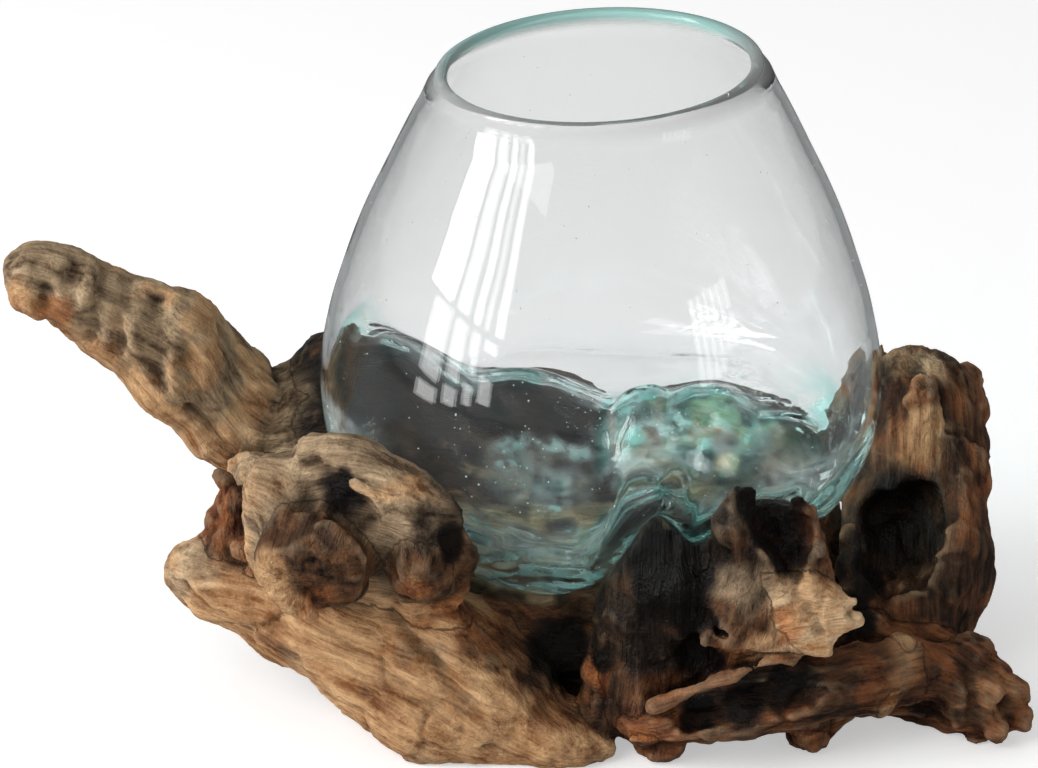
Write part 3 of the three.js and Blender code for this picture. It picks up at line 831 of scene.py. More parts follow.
ball_points, ball_faces = seed_shape()
chance = np.random.default_rng(23)
seed_count = 520
row = (chance.uniform(0.18, 0.97, seed_count) ** 1.3 * (glass_rows - 1)).astype(int)
side = chance.integers(0, glass_sides, seed_count)
depth = chance.uniform(0.3, 0.7, seed_count)[:, None]
seed_centres = outside[row, side] * (1 - depth) + inside[row, side] * depth
seed_sizes = 0.13 + 0.22 * chance.uniform(0, 1, seed_count) ** 3
seed_points = (seed_centres[:, None] + ball_points[None] * seed_sizes[:, None, None]).reshape(-1, 3)
seed_normals = np.tile(ball_points, (seed_count, 1))
seed_faces = (np.arange(seed_count)[:, None, None] * len(ball_points) + ball_faces[None]).reshape(-1, 3)
glass_seeds = make_piece(
    "glass_seeds", metres(settle_rim(seed_points)), [seed_faces], seed_normals, "vase"
)
seed_material, web = new_material("air_seeds")
seed_tone = web.add("TexNoise", {"Vector": web.add("TexCoord").outputs["Object"], "Scale": 300.0, "Detail": 1.0})
# Painted glint: the seeds are white, nearly opaque balls instead of clear air.
seed_glint_colour = web.mix(seed_tone.outputs["Fac"], (0.80, 0.95, 0.93, 1.0), white)
air = web.add(
    "BsdfPrincipled",
    {"Base Color": seed_glint_colour, "Roughness": 0.30, "IOR": 1.33, "Transmission Weight": 0.10},
)
web.add("OutputMaterial", {"Surface": air.outputs[0]})
glass_seeds.data.materials.append(seed_material)
print("seeds", seed_count, "faces", len(seed_faces))

# %% [markdown]
# ## The root as limbs
# The root is drawn limb by limb: an uneven oval carried along a smooth curve through a few
# stations. Each row names the limb, its finish, the way its oval is wide, the share of its
# unevenness, and how deep, narrow and long the ridges of its grain are. Then come its
# stations: x, y, z, half width and half height in mm.

# %% Stations of the limbs
along_depth, along_width = (0, 1, 0), (1, 0, 0)
limbs = [
    ("root_core", "dark", along_depth, 0.05, (0.5, 4, 30),
     [[-66, 12, 30, 30, 16], [-46, 6, 27, 42, 21], [-12, 4, 25, 44, 21], [26, 4, 25, 45, 21],
      [60, 4, 27, 46, 23], [84, 4, 28, 40, 22], [100, 4, 30, 26, 18]]),
    ("core_front", "dark", along_depth, 0.06, (1.2, 7, 26),
     [[-34, -34, 21, 12, 13], [-14, -38, 21, 15, 17], [12, -42, 21, 16, 18], [38, -44, 23, 17, 19],
      [62, -44, 25, 16, 20], [80, -40, 24, 12, 14]]),
    ("left_trunk", "tan", along_depth, 0.03, (0.75, 5, 75),
     [[-101, -31, 36.5, 6, 6.6], [-91, -34, 37, 10, 10.5], [-78, -41, 36, 14, 13],
      [-60, -48, 31, 18, 16.5], [-42, -54, 26.5, 21, 22], [-24, -60, 19.5, 22, 24.5],
      [-8, -65, 12, 18, 21], [6, -70, 6, 13, 12], [18, -74, 3, 8, 7], [27, -76, 2, 3, 4]]),
    ("left_arm", "grey", along_depth, 0.04, (0.7, 14, 12),
     [[-150, 0, 117, 5, 4.6], [-143, 0, 116.5, 7.6, 8], [-130, 3, 110, 11, 12], [-115, 5, 99, 13, 14.5],
      [-103, 8, 89, 15, 17], [-92, 11, 76, 16, 16], [-80, 15, 62, 17, 16], [-64, 19, 59, 19, 18.5],
      [-50, 21, 56, 20, 20]]),
    ("back_ridge", "char", along_depth, 0.04, (0.8, 5, 18),
     [[-70, 24, 56, 15, 19], [-58, 24, 57, 23, 28], [-36, 25, 56, 26, 33], [-8, 27, 48, 26, 30],
      [18, 25, 42, 23, 26], [34, 22, 38, 16, 18]]),
    ("centre_mound", "char", along_depth, 0.05, (0.8, 5, 14),
     [[26, 18, 48, 13, 13], [40, 19, 51, 17, 20], [57, 19, 53, 19, 24], [77, 12, 46, 18, 21],
      [93, 8, 38, 12, 13]]),
    ("front_saddle", "char", along_width, 0.05, (1.1, 8, 24),
     [[38, -64, 4, 15, 11], [39, -65, 20, 18, 13], [40, -66, 40, 19, 13], [40, -68, 56, 17, 12],
      [40, -62, 67, 14, 12], [43, -44, 60, 16, 13], [50, -20, 50, 17, 12]]),
    ("front_burl", "grey", along_depth, 0.06, (0.6, 8, 22),
     [[-76, -47, 70, 10, 12], [-70, -50, 69, 15, 19], [-60, -54, 67, 18, 24], [-46, -58, 68, 18, 25],
      [-33, -62, 68, 16, 21], [-22, -66, 67, 13, 17], [-12, -68, 65, 8, 10]]),
    ("burl_disc", "dark", along_width, 0.05, (0.3, 4, 10),
     [[-51, -62, 69, 12, 12], [-54, -70, 68, 15, 14], [-56, -78, 66, 17, 16], [-57, -86, 63, 14, 13]]),
    ("burl_knob", "dark", along_width, 0.05, (0.5, 3, 9),
     [[-27, -62, 66, 8, 8], [-28, -72, 65, 9, 9], [-28, -80, 63, 8, 8], [-28, -85, 61, 5, 5]]),
    ("side_knob", "rust", along_width, 0.08, (0.8, 4, 8),
     [[-72, -32, 37, 10, 10], [-77, -35, 45, 11, 10], [-79, -35, 55, 10, 9], [-78, -35, 65, 6, 6]]),
    ("horn", "char", along_width, 0.06, (0.9, 7, 30),
     [[60, -60, 18, 13, 11], [66, -66, 38, 17, 13], [70, -71, 56, 16, 12], [71, -75, 72, 13, 10],
      [70, -77, 82, 9, 7]]),
    ("broken_spur", "tan", along_depth, 0.06, (0.7, 2.8, 40),
     [[68, -72, 46, 10, 12], [77, -76, 50, 10, 12], [84, -79, 51, 8, 10], [89, -80, 51, 5, 7]]),
    ("lower_bark", "rust", along_depth, 0.05, (0.9, 6, 30),
     [[30, -78, 13, 6, 6], [42, -78, 14, 8, 8], [60, -77, 18, 9, 11], [80, -73, 19, 10, 12],
      [100, -64, 18, 11, 12], [116, -53, 16, 11, 11]]),
    ("peg_front", "rust", along_width, 0.04, (0.5, 3, 14),
     [[41, -71, -5, 8, 7], [41, -71, 4, 8, 7], [41, -70, 12, 8, 8], [40, -67, 21, 7, 7]]),
    ("peg_side", "rust", along_width, 0.04, (0.5, 3, 14),
     [[83, -67, -5, 6, 5], [83, -66, 4, 6, 5], [83, -64, 11, 6, 6], [84, -60, 20, 6, 6]]),
    ("right_slab", "dark", along_width, 0.04, (1.1, 8, 40),
     [[113, -36, 2, 17, 16], [115, -28, 20, 21, 18], [118.5, -14, 40, 22.5, 17], [120, 0, 58, 20, 14],
      [119, 10, 74, 17, 11], [117, 15, 88, 11, 7]]),
    ("slab_spike", "rust", along_width, 0.05, (0.7, 3.5, 22),
     [[127, 4, 38, 8, 8], [131, 14, 56, 8, 7], [134, 21, 68, 6, 6], [134.5, 24, 78, 3.4, 3.4]]),
    ("slab_thorn", "dark", along_width, 0.05, (0.7, 3.5, 22),
     [[98, 22, 30, 11, 11], [103, 30, 48, 9, 9], [108, 32, 66, 7, 6], [111, 32, 82, 3, 3]]),
    ("right_root", "rust", along_depth, 0.06, (1.0, 7, 30),
     [[96, -42, 13, 15, 14], [110, -48, 13, 15, 15], [122, -53, 11, 13, 14],
      [132, -58, 8, 9, 10]]),
    ("root_knob", "rust", along_depth, 0.06, (0.8, 5, 8),
     [[123, -56, 8, 9, 9], [132, -58, 9, 12, 13], [139, -60, 8, 11, 12], [144, -60, 7, 6, 7]]),
    ("rear_root_left", "dark", along_width, 0.06, (0.7, 4, 26),
     [[-34, 30, 30, 20, 16], [-48, 48, 22, 17, 15], [-60, 64, 10, 14, 12], [-70, 80, 2, 9, 7]]),
    ("rear_root_right", "dark", along_width, 0.06, (0.7, 4, 26),
     [[48, 30, 28, 20, 16], [60, 48, 22, 17, 15], [70, 65, 9, 14, 12], [74, 82, 1, 10, 8]]),
    ("rear_stub", "dark", along_width, 0.06, (0.7, 4, 22),
     [[6, 34, 34, 19, 16], [8, 50, 34, 17, 15], [10, 66, 38, 14, 13], [11, 76, 42, 11, 10]]),
]
limb_names = [limb[0] for limb in limbs]
print("limbs", len(limbs))

# %% [markdown]
# A curve through the stations gives the middle of a limb, and at each place on it three
# directions: along the limb, across it, and square to both.

# %% Smooth curves and their frames
def smooth_curve(knots, t):
    """Centripetal Catmull-Rom curve: cubics through the knots, timed by the root of their gaps."""
    knots = np.asarray(knots, float)
    wide = np.vstack([2 * knots[0] - knots[1], knots, 2 * knots[-1] - knots[-2]])
    place = t * (len(knots) - 1)
    i = np.minimum(place.astype(int), len(knots) - 2)
    f = (place - i)[:, None]
    p0, p1, p2, p3 = wide[i], wide[i + 1], wide[i + 2], wide[i + 3]

    def gap(a, b, instead):
        g = np.sum((b - a) ** 2, axis=1)[:, None] ** 0.25
        return np.where(g < 1e-4, instead, g)

    g1 = gap(p1, p2, 1.0)
    g0, g2 = gap(p0, p1, g1), gap(p2, p3, g1)
    s1 = ((p1 - p0) / g0 - (p2 - p0) / (g0 + g1) + (p2 - p1) / g1) * g1
    s2 = ((p2 - p1) / g1 - (p3 - p1) / (g1 + g2) + (p3 - p2) / g2) * g1
    return p1 + s1 * f + (3 * (p2 - p1) - 2 * s1 - s2) * f**2 + (2 * (p1 - p2) + s1 + s2) * f**3


def limb_frame(stations, across, t):
    """Middle, half sizes, tangent, wide and high directions, and length run, at shares t."""
    stations = np.asarray(stations, float)
    middle = smooth_curve(stations[:, :3], t)
    halves = smooth_curve(np.column_stack([stations[:, 3:5], np.zeros(len(stations))]), t)
    step = 1e-4
    ahead = smooth_curve(stations[:, :3], np.minimum(t + step, 1))
    behind = smooth_curve(stations[:, :3], np.maximum(t - step, 0))
    tangent = unit(ahead - behind)
    high = unit(np.cross(tangent, np.array(across, float)))
    wide = unit(np.cross(high, tangent))
    run = np.concatenate([[0], np.cumsum(np.linalg.norm(np.diff(middle, axis=0), axis=1))])
    return middle, halves, tangent, wide, high, run


print("curve check", smooth_curve([[0, 0, 0], [1, 0, 0], [2, 1, 0]], np.array([0.5]))[0].round(3))

# %% [markdown]
# ## Limb surfaces
# A limb's skin is a function of the share along its curve and the angle round it. The
# grain is worked in the limb's own straightened frame, so its ridges follow every bend:
# narrow across, long along.

# %% Limb surfaces
def limb_surface(stations, across, lumps, ridges, phase, rows=150, sides=120):
    """Middle + wide * w * cos(turn) + high * h * sin(turn), with waves round it and noise on it."""
    rounded_end = 0.14
    t = np.linspace(0, 1, rows)
    middle, halves, tangent, wide, high, run = limb_frame(stations, across, t)
    turn = np.arange(sides) * 2 * np.pi / sides
    T, A = np.meshgrid(t, turn, indexing="ij")
    uneven = (
        1
        + lumps * np.sin(2 * A + phase + 5 * T)
        + lumps * np.sin(3 * A - 2 * phase + 11 * T)
        + 0.7 * lumps * np.sin(5 * A + 3 * phase - 7 * T)
    )
    from_end = np.minimum(np.minimum(T, 1 - T), rounded_end) / rounded_end
    close = np.sqrt(np.maximum(0, 1 - (1 - from_end) ** 2))
    w = halves[:, :1] * uneven * close
    h = halves[:, 1:2] * uneven * close
    depth, narrow, long = ridges
    flat = np.stack([w * np.cos(A), h * np.sin(A), run[:, None] + 0 * A], -1)
    crests = creases(flat / [narrow, narrow, long], phase)
    cracks = creases(flat / [1.3 * narrow, 1.3 * narrow, 1.2 * long], phase + 13)
    large = speckle(flat / 13.0, phase + 5)
    swell = depth * (0.8 * crests - 1.3 * cracks + 0.2) + 1.5 * large
    w, h = w + swell * close, h + swell * close
    across_part = wide[:, None] * (w * np.cos(A))[..., None]
    points = middle[:, None] + across_part + high[:, None] * (h * np.sin(A))[..., None]
    ring = np.arange(rows * sides).reshape(rows, sides)
    right = np.roll(ring, -1, axis=1)
    quads = np.stack([ring[:-1], right[:-1], right[1:], ring[1:]], -1).reshape(-1, 4)
    return points.reshape(-1, 3), quads.astype(np.uint32)


# %% [markdown]
# ## Growing the limbs together
# Real limbs grow into each other with no seam. Laying closed tubes through one another
# would show a hard line at each join, and cutting them with booleans would show a sharper
# one. So all limbs are poured into one block of cells, each holding its distance to the
# wood. There, joining is a soft minimum of two numbers, and carving a soft maximum.

# %% The block of cells
cell = 0.82
low, high_corner = np.array([-156.0, -95.0, -6.0]), np.array([156.0, 90.0, 131.0])
cells = np.ceil((high_corner - low) / cell).astype(int)
reach = 6.5
band = reach / cell
limb_blend = 4.0


def distance_block(points, quads):
    """Distance in mm to a closed surface, negative inside, in the part of the block round it."""
    grid = vdb.FloatGrid.createLevelSetFromPolygons(
        ((points - low) / cell).astype(np.float32), quads=quads, exBandWidth=band, inBandWidth=band
    )
    first, last = grid.evalActiveVoxelBoundingBox()
    first = np.maximum(first, 0)
    last = np.minimum(np.array(last) + 1, cells)
    part = np.empty(last - first, np.float32)
    grid.copyToArray(part, ijk=tuple(int(v) for v in first))
    return first, part * cell


def window_of(first, part):
    """The stretch of the block that a part covers."""
    return tuple(slice(a, a + n) for a, n in zip(first, part.shape))


def soft_min(a, b, soft):
    """The smaller of two, less h^2 * soft / 4 where they are closer than soft; h is that closeness."""
    h = np.maximum(soft - np.abs(a - b), 0) / soft
    return np.minimum(a, b) - h * h * soft / 4


wood = np.full(cells, reach, np.float32)
blocks = []
for number, (name, finish, across, lumps, ridges, stations) in enumerate(limbs):
    points, quads = limb_surface(stations, across, lumps, ridges, number)
    first, part = distance_block(points, quads)
    place = window_of(first, part)
    wood[place] = soft_min(wood[place], part, limb_blend)
    blocks.append((number, finish, first, part))
print("cells", cells, "wood litres", round(float((wood < 0).sum() * cell**3 / 1e6), 3))


# %% [markdown]
# ## Swellings, folds, knots and splinters
# What makes a root look like a root is the small stuff. All of it is drawn with rods: a few
# balls in a row, x, y, z and radius, with the skin stretched between them. One ball alone
# is a knot. A rod can be used in four ways: as a swelling or a fold, which only push the
# skin out or in near it, or as a strand or a pit, which add or take away its own shape.

# %% Rods
def rod_distance(stations, around):
    """The least distance to the lines between the balls, and the radius blended along them."""
    balls = np.asarray(stations, float)
    first = np.clip(np.floor((balls[:, :3].min(0) - around - low) / cell), 0, cells - 2).astype(int)
    last = np.clip(np.ceil((balls[:, :3].max(0) + around - low) / cell), first + 1, cells).astype(int)
    axes = [low[k] + cell * np.arange(first[k], last[k]) for k in range(3)]
    p = np.stack(np.meshgrid(*axes, indexing="ij"), -1)
    far = np.linalg.norm(p - balls[0, :3], axis=-1)
    radius = np.full(far.shape, balls[0, 3])
    for a, b in zip(balls[:-1], balls[1:]):
        rod = b[:3] - a[:3]
        t = np.clip((p - a[:3]) @ rod / (rod @ rod), 0, 1)
        here = np.linalg.norm(p - a[:3] - t[..., None] * rod, axis=-1)
        size = a[3] + t * (b[3] - a[3])
        closer = here - size < far - radius
        far, radius = np.where(closer, here, far), np.where(closer, size, radius)
    return first, p, far, radius


def rod_block(stations, seed):
    """Distance to the rod's own uneven skin, kept within reach."""
    biggest = max(ball[3] for ball in stations)
    first, p, far, radius = rod_distance(stations, biggest + reach)
    skin_off = far - radius + 0.2 * radius * speckle(p / 4.0, seed)
    return first, np.clip(skin_off, -reach, reach).astype(np.float32)


def push(stations, out):
    """Adds out * radius * exp(-(distance / 1.5 radius)^2) to the block: minus swells, plus folds."""
    biggest = max(ball[3] for ball in stations)
    first, p, far, radius = rod_distance(stations, 3.4 * biggest)
    place = window_of(first, far)
    wood[place] += (out * radius * np.exp(-((far / (1.5 * radius)) ** 2))).astype(np.float32)


def join(name, finish, soft, stations, seed):
    """Grows a rod onto a limb, and notes its finish."""
    first, part = rod_block(stations, seed)
    place = window_of(first, part)
    wood[place] = soft_min(wood[place], part, soft)
    blocks.append((limb_names.index(name), finish, first, part))


# limb, finish, balls
swellings = [
    ("left_arm", "grey", [[-102, 2, 101, 4], [-96, 2, 99, 5], [-91, 2, 94, 4]]),
    ("left_arm", "grey", [[-125, -4, 115, 5]]),
    ("left_arm", "grey", [[-136, 2, 120, 5]]),
    ("left_arm", "tan", [[-111, -3, 82, 4], [-103, -3, 72, 5], [-95, -2, 61, 5]]),
    ("left_arm", "grey", [[-113, -8, 104, 3], [-108, -9, 95, 3.4], [-104, -8, 84, 3]]),
    ("front_burl", "grey", [[-72, -60, 88, 5], [-70, -66, 80, 5], [-69, -70, 72, 4]]),
    ("front_burl", "grey", [[-52, -62, 92, 5], [-44, -64, 91, 6], [-36, -65, 88, 6]]),
    ("front_burl", "grey", [[-32, -72, 84, 6], [-26, -76, 78, 5]]),
    ("front_burl", "dark", [[-18, -73, 74, 6], [-15, -73, 66, 6], [-17, -73, 56, 6]]),
    ("front_burl", "tan", [[-28, -70, 51, 7], [-18, -70, 47, 6]]),
    ("left_trunk", "grey", [[-92, -38, 44, 6], [-86, -46, 41, 5]]),
    ("left_trunk", "tan", [[-99, -32, 42, 4], [-101, -33, 34, 4], [-92, -42, 27, 4]]),
    ("left_trunk", "tan", [[-22, -69, 44, 3], [-11, -77, 32, 4], [0, -80, 22, 4], [10, -82, 9, 3]]),
    ("left_trunk", "tan", [[-19, -76, 38, 2.4], [-15, -81, 26, 3], [-8, -84, 13, 3]]),
    ("left_trunk", "tan", [[-62, -66, 48, 3], [-48, -76, 36, 3.4], [-34, -82, 24, 3], [-22, -85, 12, 2.4]]),
    ("core_front", "dark", [[0, -55, 34, 8], [8, -55, 31, 7], [12, -58, 27, 6]]),
    ("core_front", "rust", [[6, -53, 40, 6], [-4, -56, 42, 5]]),
    ("core_front", "dark", [[22, -70, 30, 4], [22, -71, 20, 5], [24, -70, 10, 5]]),
    ("front_saddle", "char", [[30, -76, 46, 4], [31, -77, 34, 5], [34, -77, 22, 5]]),
    ("front_saddle", "char", [[42, -78, 56, 5], [45, -78, 46, 4]]),
    ("front_saddle", "char", [[52, -75, 60, 6], [52, -75, 70, 5]]),
    ("horn", "dark", [[62, -78, 66, 6], [61, -80, 56, 8], [64, -82, 48, 8]]),
    ("broken_spur", "grey", [[70, -81, 64, 4], [77, -82, 60, 5], [82, -82, 56, 5]]),
    ("lower_bark", "rust", [[92, -74, 24, 5], [99, -72, 17, 5]]),
    ("right_slab", "dark", [[127, -28, 42, 8], [125, -33, 33, 7]]),
    ("right_slab", "rust", [[128, -22, 60, 3], [129, -26, 48, 3.6], [128, -36, 30, 3]]),
    ("right_slab", "dark", [[100, -38, 60, 3], [97, -40, 48, 3.6], [99, -42, 36, 3.6]]),
    ("right_root", "tan", [[110, -57, 30, 3], [107, -67, 24, 3.4], [104, -74, 17, 3]]),
    ("right_root", "rust", [[128, -54, 20, 7]]),
    ("right_root", "rust", [[116, -62, 22, 4], [124, -66, 18, 4], [131, -68, 14, 3.6]]),
    ("back_ridge", "char", [[-60, 4, 66, 8], [-48, 0, 62, 9], [-34, 2, 60, 8]]),
    ("back_ridge", "char", [[-10, 4, 52, 8], [6, 6, 50, 7]]),
    ("centre_mound", "char", [[44, 6, 56, 6], [56, 2, 58, 7], [68, 2, 52, 6]]),
]
for seed, (name, finish, stations) in enumerate(swellings):
    push(stations, -0.6)
    first, part = rod_block([[x, y, z, 0.8 * r] for x, y, z, r in stations], seed)
    blocks.append((limb_names.index(name), finish, first, part))

# limb, finish, blend in mm, balls
strands = [
    ("left_arm", "tan", 2.5, [[-144, -5, 113, 3.4], [-139, -7, 109, 3]]),
    ("front_burl", "grey", 2, [[-45, -74, 88, 2.4], [-40, -76, 85, 2.6], [-37, -77, 80, 2.2]]),
    ("burl_disc", "tan", 3.5, [[-69, -83, 66, 4], [-65, -84, 58, 4.6], [-58, -85, 54, 3.6]]),
    ("burl_disc", "dark", 3.5, [[-58, -84, 74, 4], [-50, -84, 73, 4], [-44, -83, 67, 4]]),
    ("left_arm", "grey", 3, [[-80, -8, 57, 6], [-75, -20, 61, 6]]),
    ("right_root", "dark", 4, [[88, -48, 26, 7], [100, -46, 25, 7]]),
    ("right_slab", "dark", 4, [[98, -32, 47, 6.5], [99, -37, 36, 7], [99, -40, 28, 7]]),
    ("side_knob", "rust", 1.5, [[-82, -36, 62, 6]]),
    ("side_knob", "rust", 1.5, [[-85, -36, 69, 3.5]]),
    ("side_knob", "rust", 1.5, [[-79, -45, 52, 5]]),
    ("side_knob", "rust", 1.5, [[-76, -48, 45, 3.8]]),
    ("side_knob", "rust", 1.5, [[-75, -42, 63, 3.8]]),
    ("side_knob", "rust", 1.5, [[-88, -37, 56, 3]]),
    ("horn", "char", 2, [[55, -74, 54, 7], [57, -76, 68, 6.4], [59, -77, 79, 5.4], [62, -77, 86.5, 3]]),
    ("horn", "rust", 2, [[80, -76, 62, 6], [80.5, -77, 72, 4.6], [79, -77, 80, 3.6], [76.5, -76, 84, 2.2]]),
    ("horn", "char", 1.5, [[81, -81, 72, 3], [76, -82, 68.5, 2.6]]),
    ("horn", "dark", 3, [[53, -79, 45, 4], [60, -81, 43, 4.4], [68, -82, 45, 4.4], [76, -83, 47, 4]]),
    ("broken_spur", "tan", 3, [[73, -82, 64, 3.4], [80, -83, 61, 4.4], [87, -84, 58.5, 3]]),
    ("broken_spur", "pale", 2.5, [[79, -84, 57, 5], [87, -85, 55.5, 4], [92, -85, 57.5, 1.2]]),
    ("broken_spur", "pale", 2.5, [[78, -84, 52, 6], [88, -86, 51.5, 4], [93, -85, 52, 1.8]]),
    ("broken_spur", "pale", 2, [[78, -84, 48, 5], [83, -86, 45, 3.4], [85.5, -87, 41.8, 1.4]]),
    ("lower_bark", "rust", 1.2, [[38, -84, 24, 2.2], [50, -84, 29, 2.4], [60, -84, 33.6, 2.6],
                                 [75, -83, 39.6, 2.6]]),
    ("lower_bark", "rust", 1.5, [[39, -82, 16.6, 2.6], [48, -83.5, 16, 2.8], [62, -84, 17.4, 3],
                                 [78, -81, 17.6, 3.2], [94, -75, 18, 3.4]]),
    ("right_slab", "dark", 2.5, [[118, 0, 79, 6.4]]),
    ("right_slab", "grey", 2.5, [[121, -3, 72, 6]]),
    ("right_slab", "grey", 1.2, [[109, 11, 77, 3], [109.5, 12, 83.5, 1.6]]),
    ("right_slab", "grey", 1.2, [[114, 11, 79, 4], [115, 12, 85.5, 1.8]]),
    ("right_slab", "rust", 3, [[135, -6, 61, 2.6], [136.5, -12, 54, 2.4], [134, -18, 47, 2]]),
    ("right_slab", "rust", 1, [[134, -22, 43, 2], [132, -30, 36, 2]]),
    ("right_slab", "pale", 0.8, [[117, -27, 34, 1.6], [118, -28, 40, 1.2], [118.5, -28, 46, 0.5]]),
    ("slab_spike", "rust", 1, [[130, 18, 71, 3], [131, 20, 78.5, 1.6]]),
    ("slab_spike", "rust", 1, [[138, 16, 64, 2.4], [139, 19, 73.5, 1.4]]),
    ("right_root", "rust", 3, [[131, -54, 19, 7.5]]),
    ("root_knob", "rust", 1.5, [[134, -66, 16, 6]]),
    ("root_knob", "rust", 1.5, [[141.5, -62, 15, 5.5]]),
    ("root_knob", "rust", 1.5, [[144, -65, 7, 4]]),
    ("root_knob", "rust", 1.5, [[137, -68, 6, 4.5]]),
]
for seed, (name, finish, soft, stations) in enumerate(strands):
    join(name, finish, soft, stations, 40 + seed)
print("swellings", len(swellings), "strands", len(strands))

# %% [markdown]
# ## Carving
# Rot, fire and tools took wood away: the split in the horn, the trough in the bark, the
# black hole in the slab, the pockets and cracks of the burl. Folds are only pressed in.

# %% Carving
# direction, blend in mm, stations
hollows = [
    (along_depth, 1.2, [[40, -88, 19, 3, 3], [49, -88, 22, 5, 4.5], [62, -88, 25.5, 7, 6.4],
                        [76, -86, 28.5, 7, 6.4], [88, -82, 30, 5, 5]]),
    (along_depth, 1.5, [[28, -85, 2, 8, 8], [50, -85, 3, 8, 9], [75, -81, 4, 8, 9], [100, -74, 5, 8, 8],
                        [114, -68, 3, 7, 8], [126, -70, 0, 5, 6]]),
    (along_width, 2.5, [[106, -44, 40, 10, 11], [109, -32, 44, 12, 12], [113, -19, 48, 10, 11],
                        [117, -9, 51, 6, 6]]),
    (along_width, 1.2, [[67, -81, 98, 7, 10], [68, -82, 89, 7.5, 10], [70.5, -83, 80, 7.5, 9],
                        [74, -85, 71, 5.5, 6], [76.5, -87, 64, 2.4, 3]]),
]
# blend in mm, balls
pits = [
    (1.5, [[-57, -67, 91, 3], [-52, -71, 87, 4], [-47, -75, 82, 4.2], [-43, -76, 78, 3]]),
    (1.2, [[-58, -72, 83, 3]]),
    (1.2, [[57, -84, 48.5, 3.4]]),
    (1.5, [[49.5, -80, 43, 3.6], [49.8, -80, 37, 5], [48, -80, 30, 4]]),
    (1.5, [[22, -84, 34, 4]]),
    (1.0, [[92, -87, 54.5, 1.8]]),
]
# the first ten folds are on the arm and a little shallower
arm_folds, arm_fold_depth, fold_depth = 10, 1.6, 1.8
folds = [
    [[-120, 2, 118, 2], [-121, -4, 114, 2.2], [-123, -7, 108, 2], [-124, -5, 100, 1.4]],
    [[-114, 3, 114, 2], [-114, -3, 110, 2.2], [-116, -7, 104, 2], [-117, -6, 96, 1.4]],
    [[-106, 3, 108, 2], [-105, -4, 105, 2.2], [-104, -7, 99, 1.8], [-105, -7, 90, 1.4]],
    [[-84, 6, 96, 3.4], [-80, 4, 90, 3.4], [-80, -2, 82, 3], [-81, -5, 74, 2.6], [-82, -4, 64, 2]],
    [[-76, 8, 88, 4.5], [-70, 10, 86, 4.5]],
    [[-128, -2, 122, 1.8], [-129, -8, 117, 2], [-128, -8, 112, 1.6]],
    [[-97, -6, 97, 1.8], [-96, -8, 89, 2.2], [-94, -6, 79, 1.6]],
    [[-110, -7, 103, 1.6], [-107, -9, 94, 2], [-104, -7, 85, 1.6]],
    [[-136, -4, 120, 1.6], [-137, -9, 112, 1.8]],
    [[-99, -4, 80, 1.4], [-92, -3, 70, 1.8], [-86, -3, 60, 1.6]],
    [[-66, -80, 77, 1.4], [-60, -82, 82, 1.6], [-54, -79, 83, 1.6]],
    [[-43, -76, 82, 2.2], [-40, -78, 76, 2.4], [-38, -81, 71, 2.4], [-39, -83, 65, 2.2],
     [-41, -86, 60, 2]],
    [[-22, -79, 79, 3.4], [-19, -78, 74, 3.4]],
    [[-30, -84, 72, 1.4], [-24, -86, 73, 1.6], [-18, -80, 68, 1.6]],
    [[-20, -76, 52, 1.6], [-26, -80, 52, 1.6], [-33, -81, 54, 1.6]],
    [[-62, -90, 76, 1.4], [-52, -92, 78, 1.6], [-44, -90, 74, 1.6], [-40, -88, 66, 1.8]],
    [[-97, -44, 38, 1.2], [-91, -52, 35, 1.4], [-84, -58, 30, 1.4], [-68, -68, 28, 1.6],
     [-53, -76, 25, 1.6], [-43, -81, 18, 1.4], [-31, -84, 12, 1.2]],
    [[-72, -58, 46, 1.2], [-56, -68, 40, 1.5], [-40, -76, 32, 1.5], [-26, -82, 20, 1.4]],
    [[-36, -72, 46, 1.2], [-24, -78, 34, 1.5], [-12, -83, 20, 1.5], [-2, -86, 8, 1.2]],
    [[-81, -45, 57, 1.6], [-77, -44, 60, 1.6]],
    [[28, -84, 70, 3], [40, -85, 71, 3.4], [50, -83, 69, 3.4]],
    [[38, -84, 52, 1.8], [38, -84, 42, 2.2], [40, -84, 32, 2]],
    [[72, -85, 67, 1.3], [78, -87, 58, 1.5], [83, -88, 50, 1.3]],
    [[54, -84, 38, 2.2], [64, -86, 38.5, 2.2]],
    [[117.5, 5, 84, 2], [113, 0, 80, 1.8]],
    [[111, -12, 74, 1.6], [112, -20, 66, 2]],
    [[124, -8, 74, 1.6], [126, -18, 62, 2], [127, -26, 52, 2]],
    [[117, -50, 30, 2], [122, -52, 22, 2.2], [118, -60, 14, 2]],
    [[101, -58, 28, 2], [98, -68, 20, 2.4], [97, -74, 12, 2]],
    [[129, -66, 20, 1.6], [130, -70, 12, 1.8]],
    [[139, -67, 13, 1.6], [141, -68, 8, 1.6]],
    [[2, -66, 36, 4], [14, -68, 36, 4.5]],
]


def carve(first, part, soft):
    """Takes a part away from the wood, with a soft edge."""
    place = window_of(first, part)
    wood[place] = soft_max(wood[place], -part, soft)


for seed, (across, soft, stations) in enumerate(hollows):
    points, quads = limb_surface(stations, across, 0.11, (1.6, 6, 12), 40 + seed, rows=60, sides=60)
    carve(*distance_block(points, quads), soft)
for seed, (soft, stations) in enumerate(pits):
    carve(*rod_block(stations, 90 + seed), soft)
for number, stations in enumerate(folds):
    push(stations, arm_fold_depth if number < arm_folds else fold_depth)
print("hollows", len(hollows), "pits", len(pits), "folds", len(folds))

# %% [markdown]
# The two cut pegs stand under the bark, so they are added after it has been hollowed.

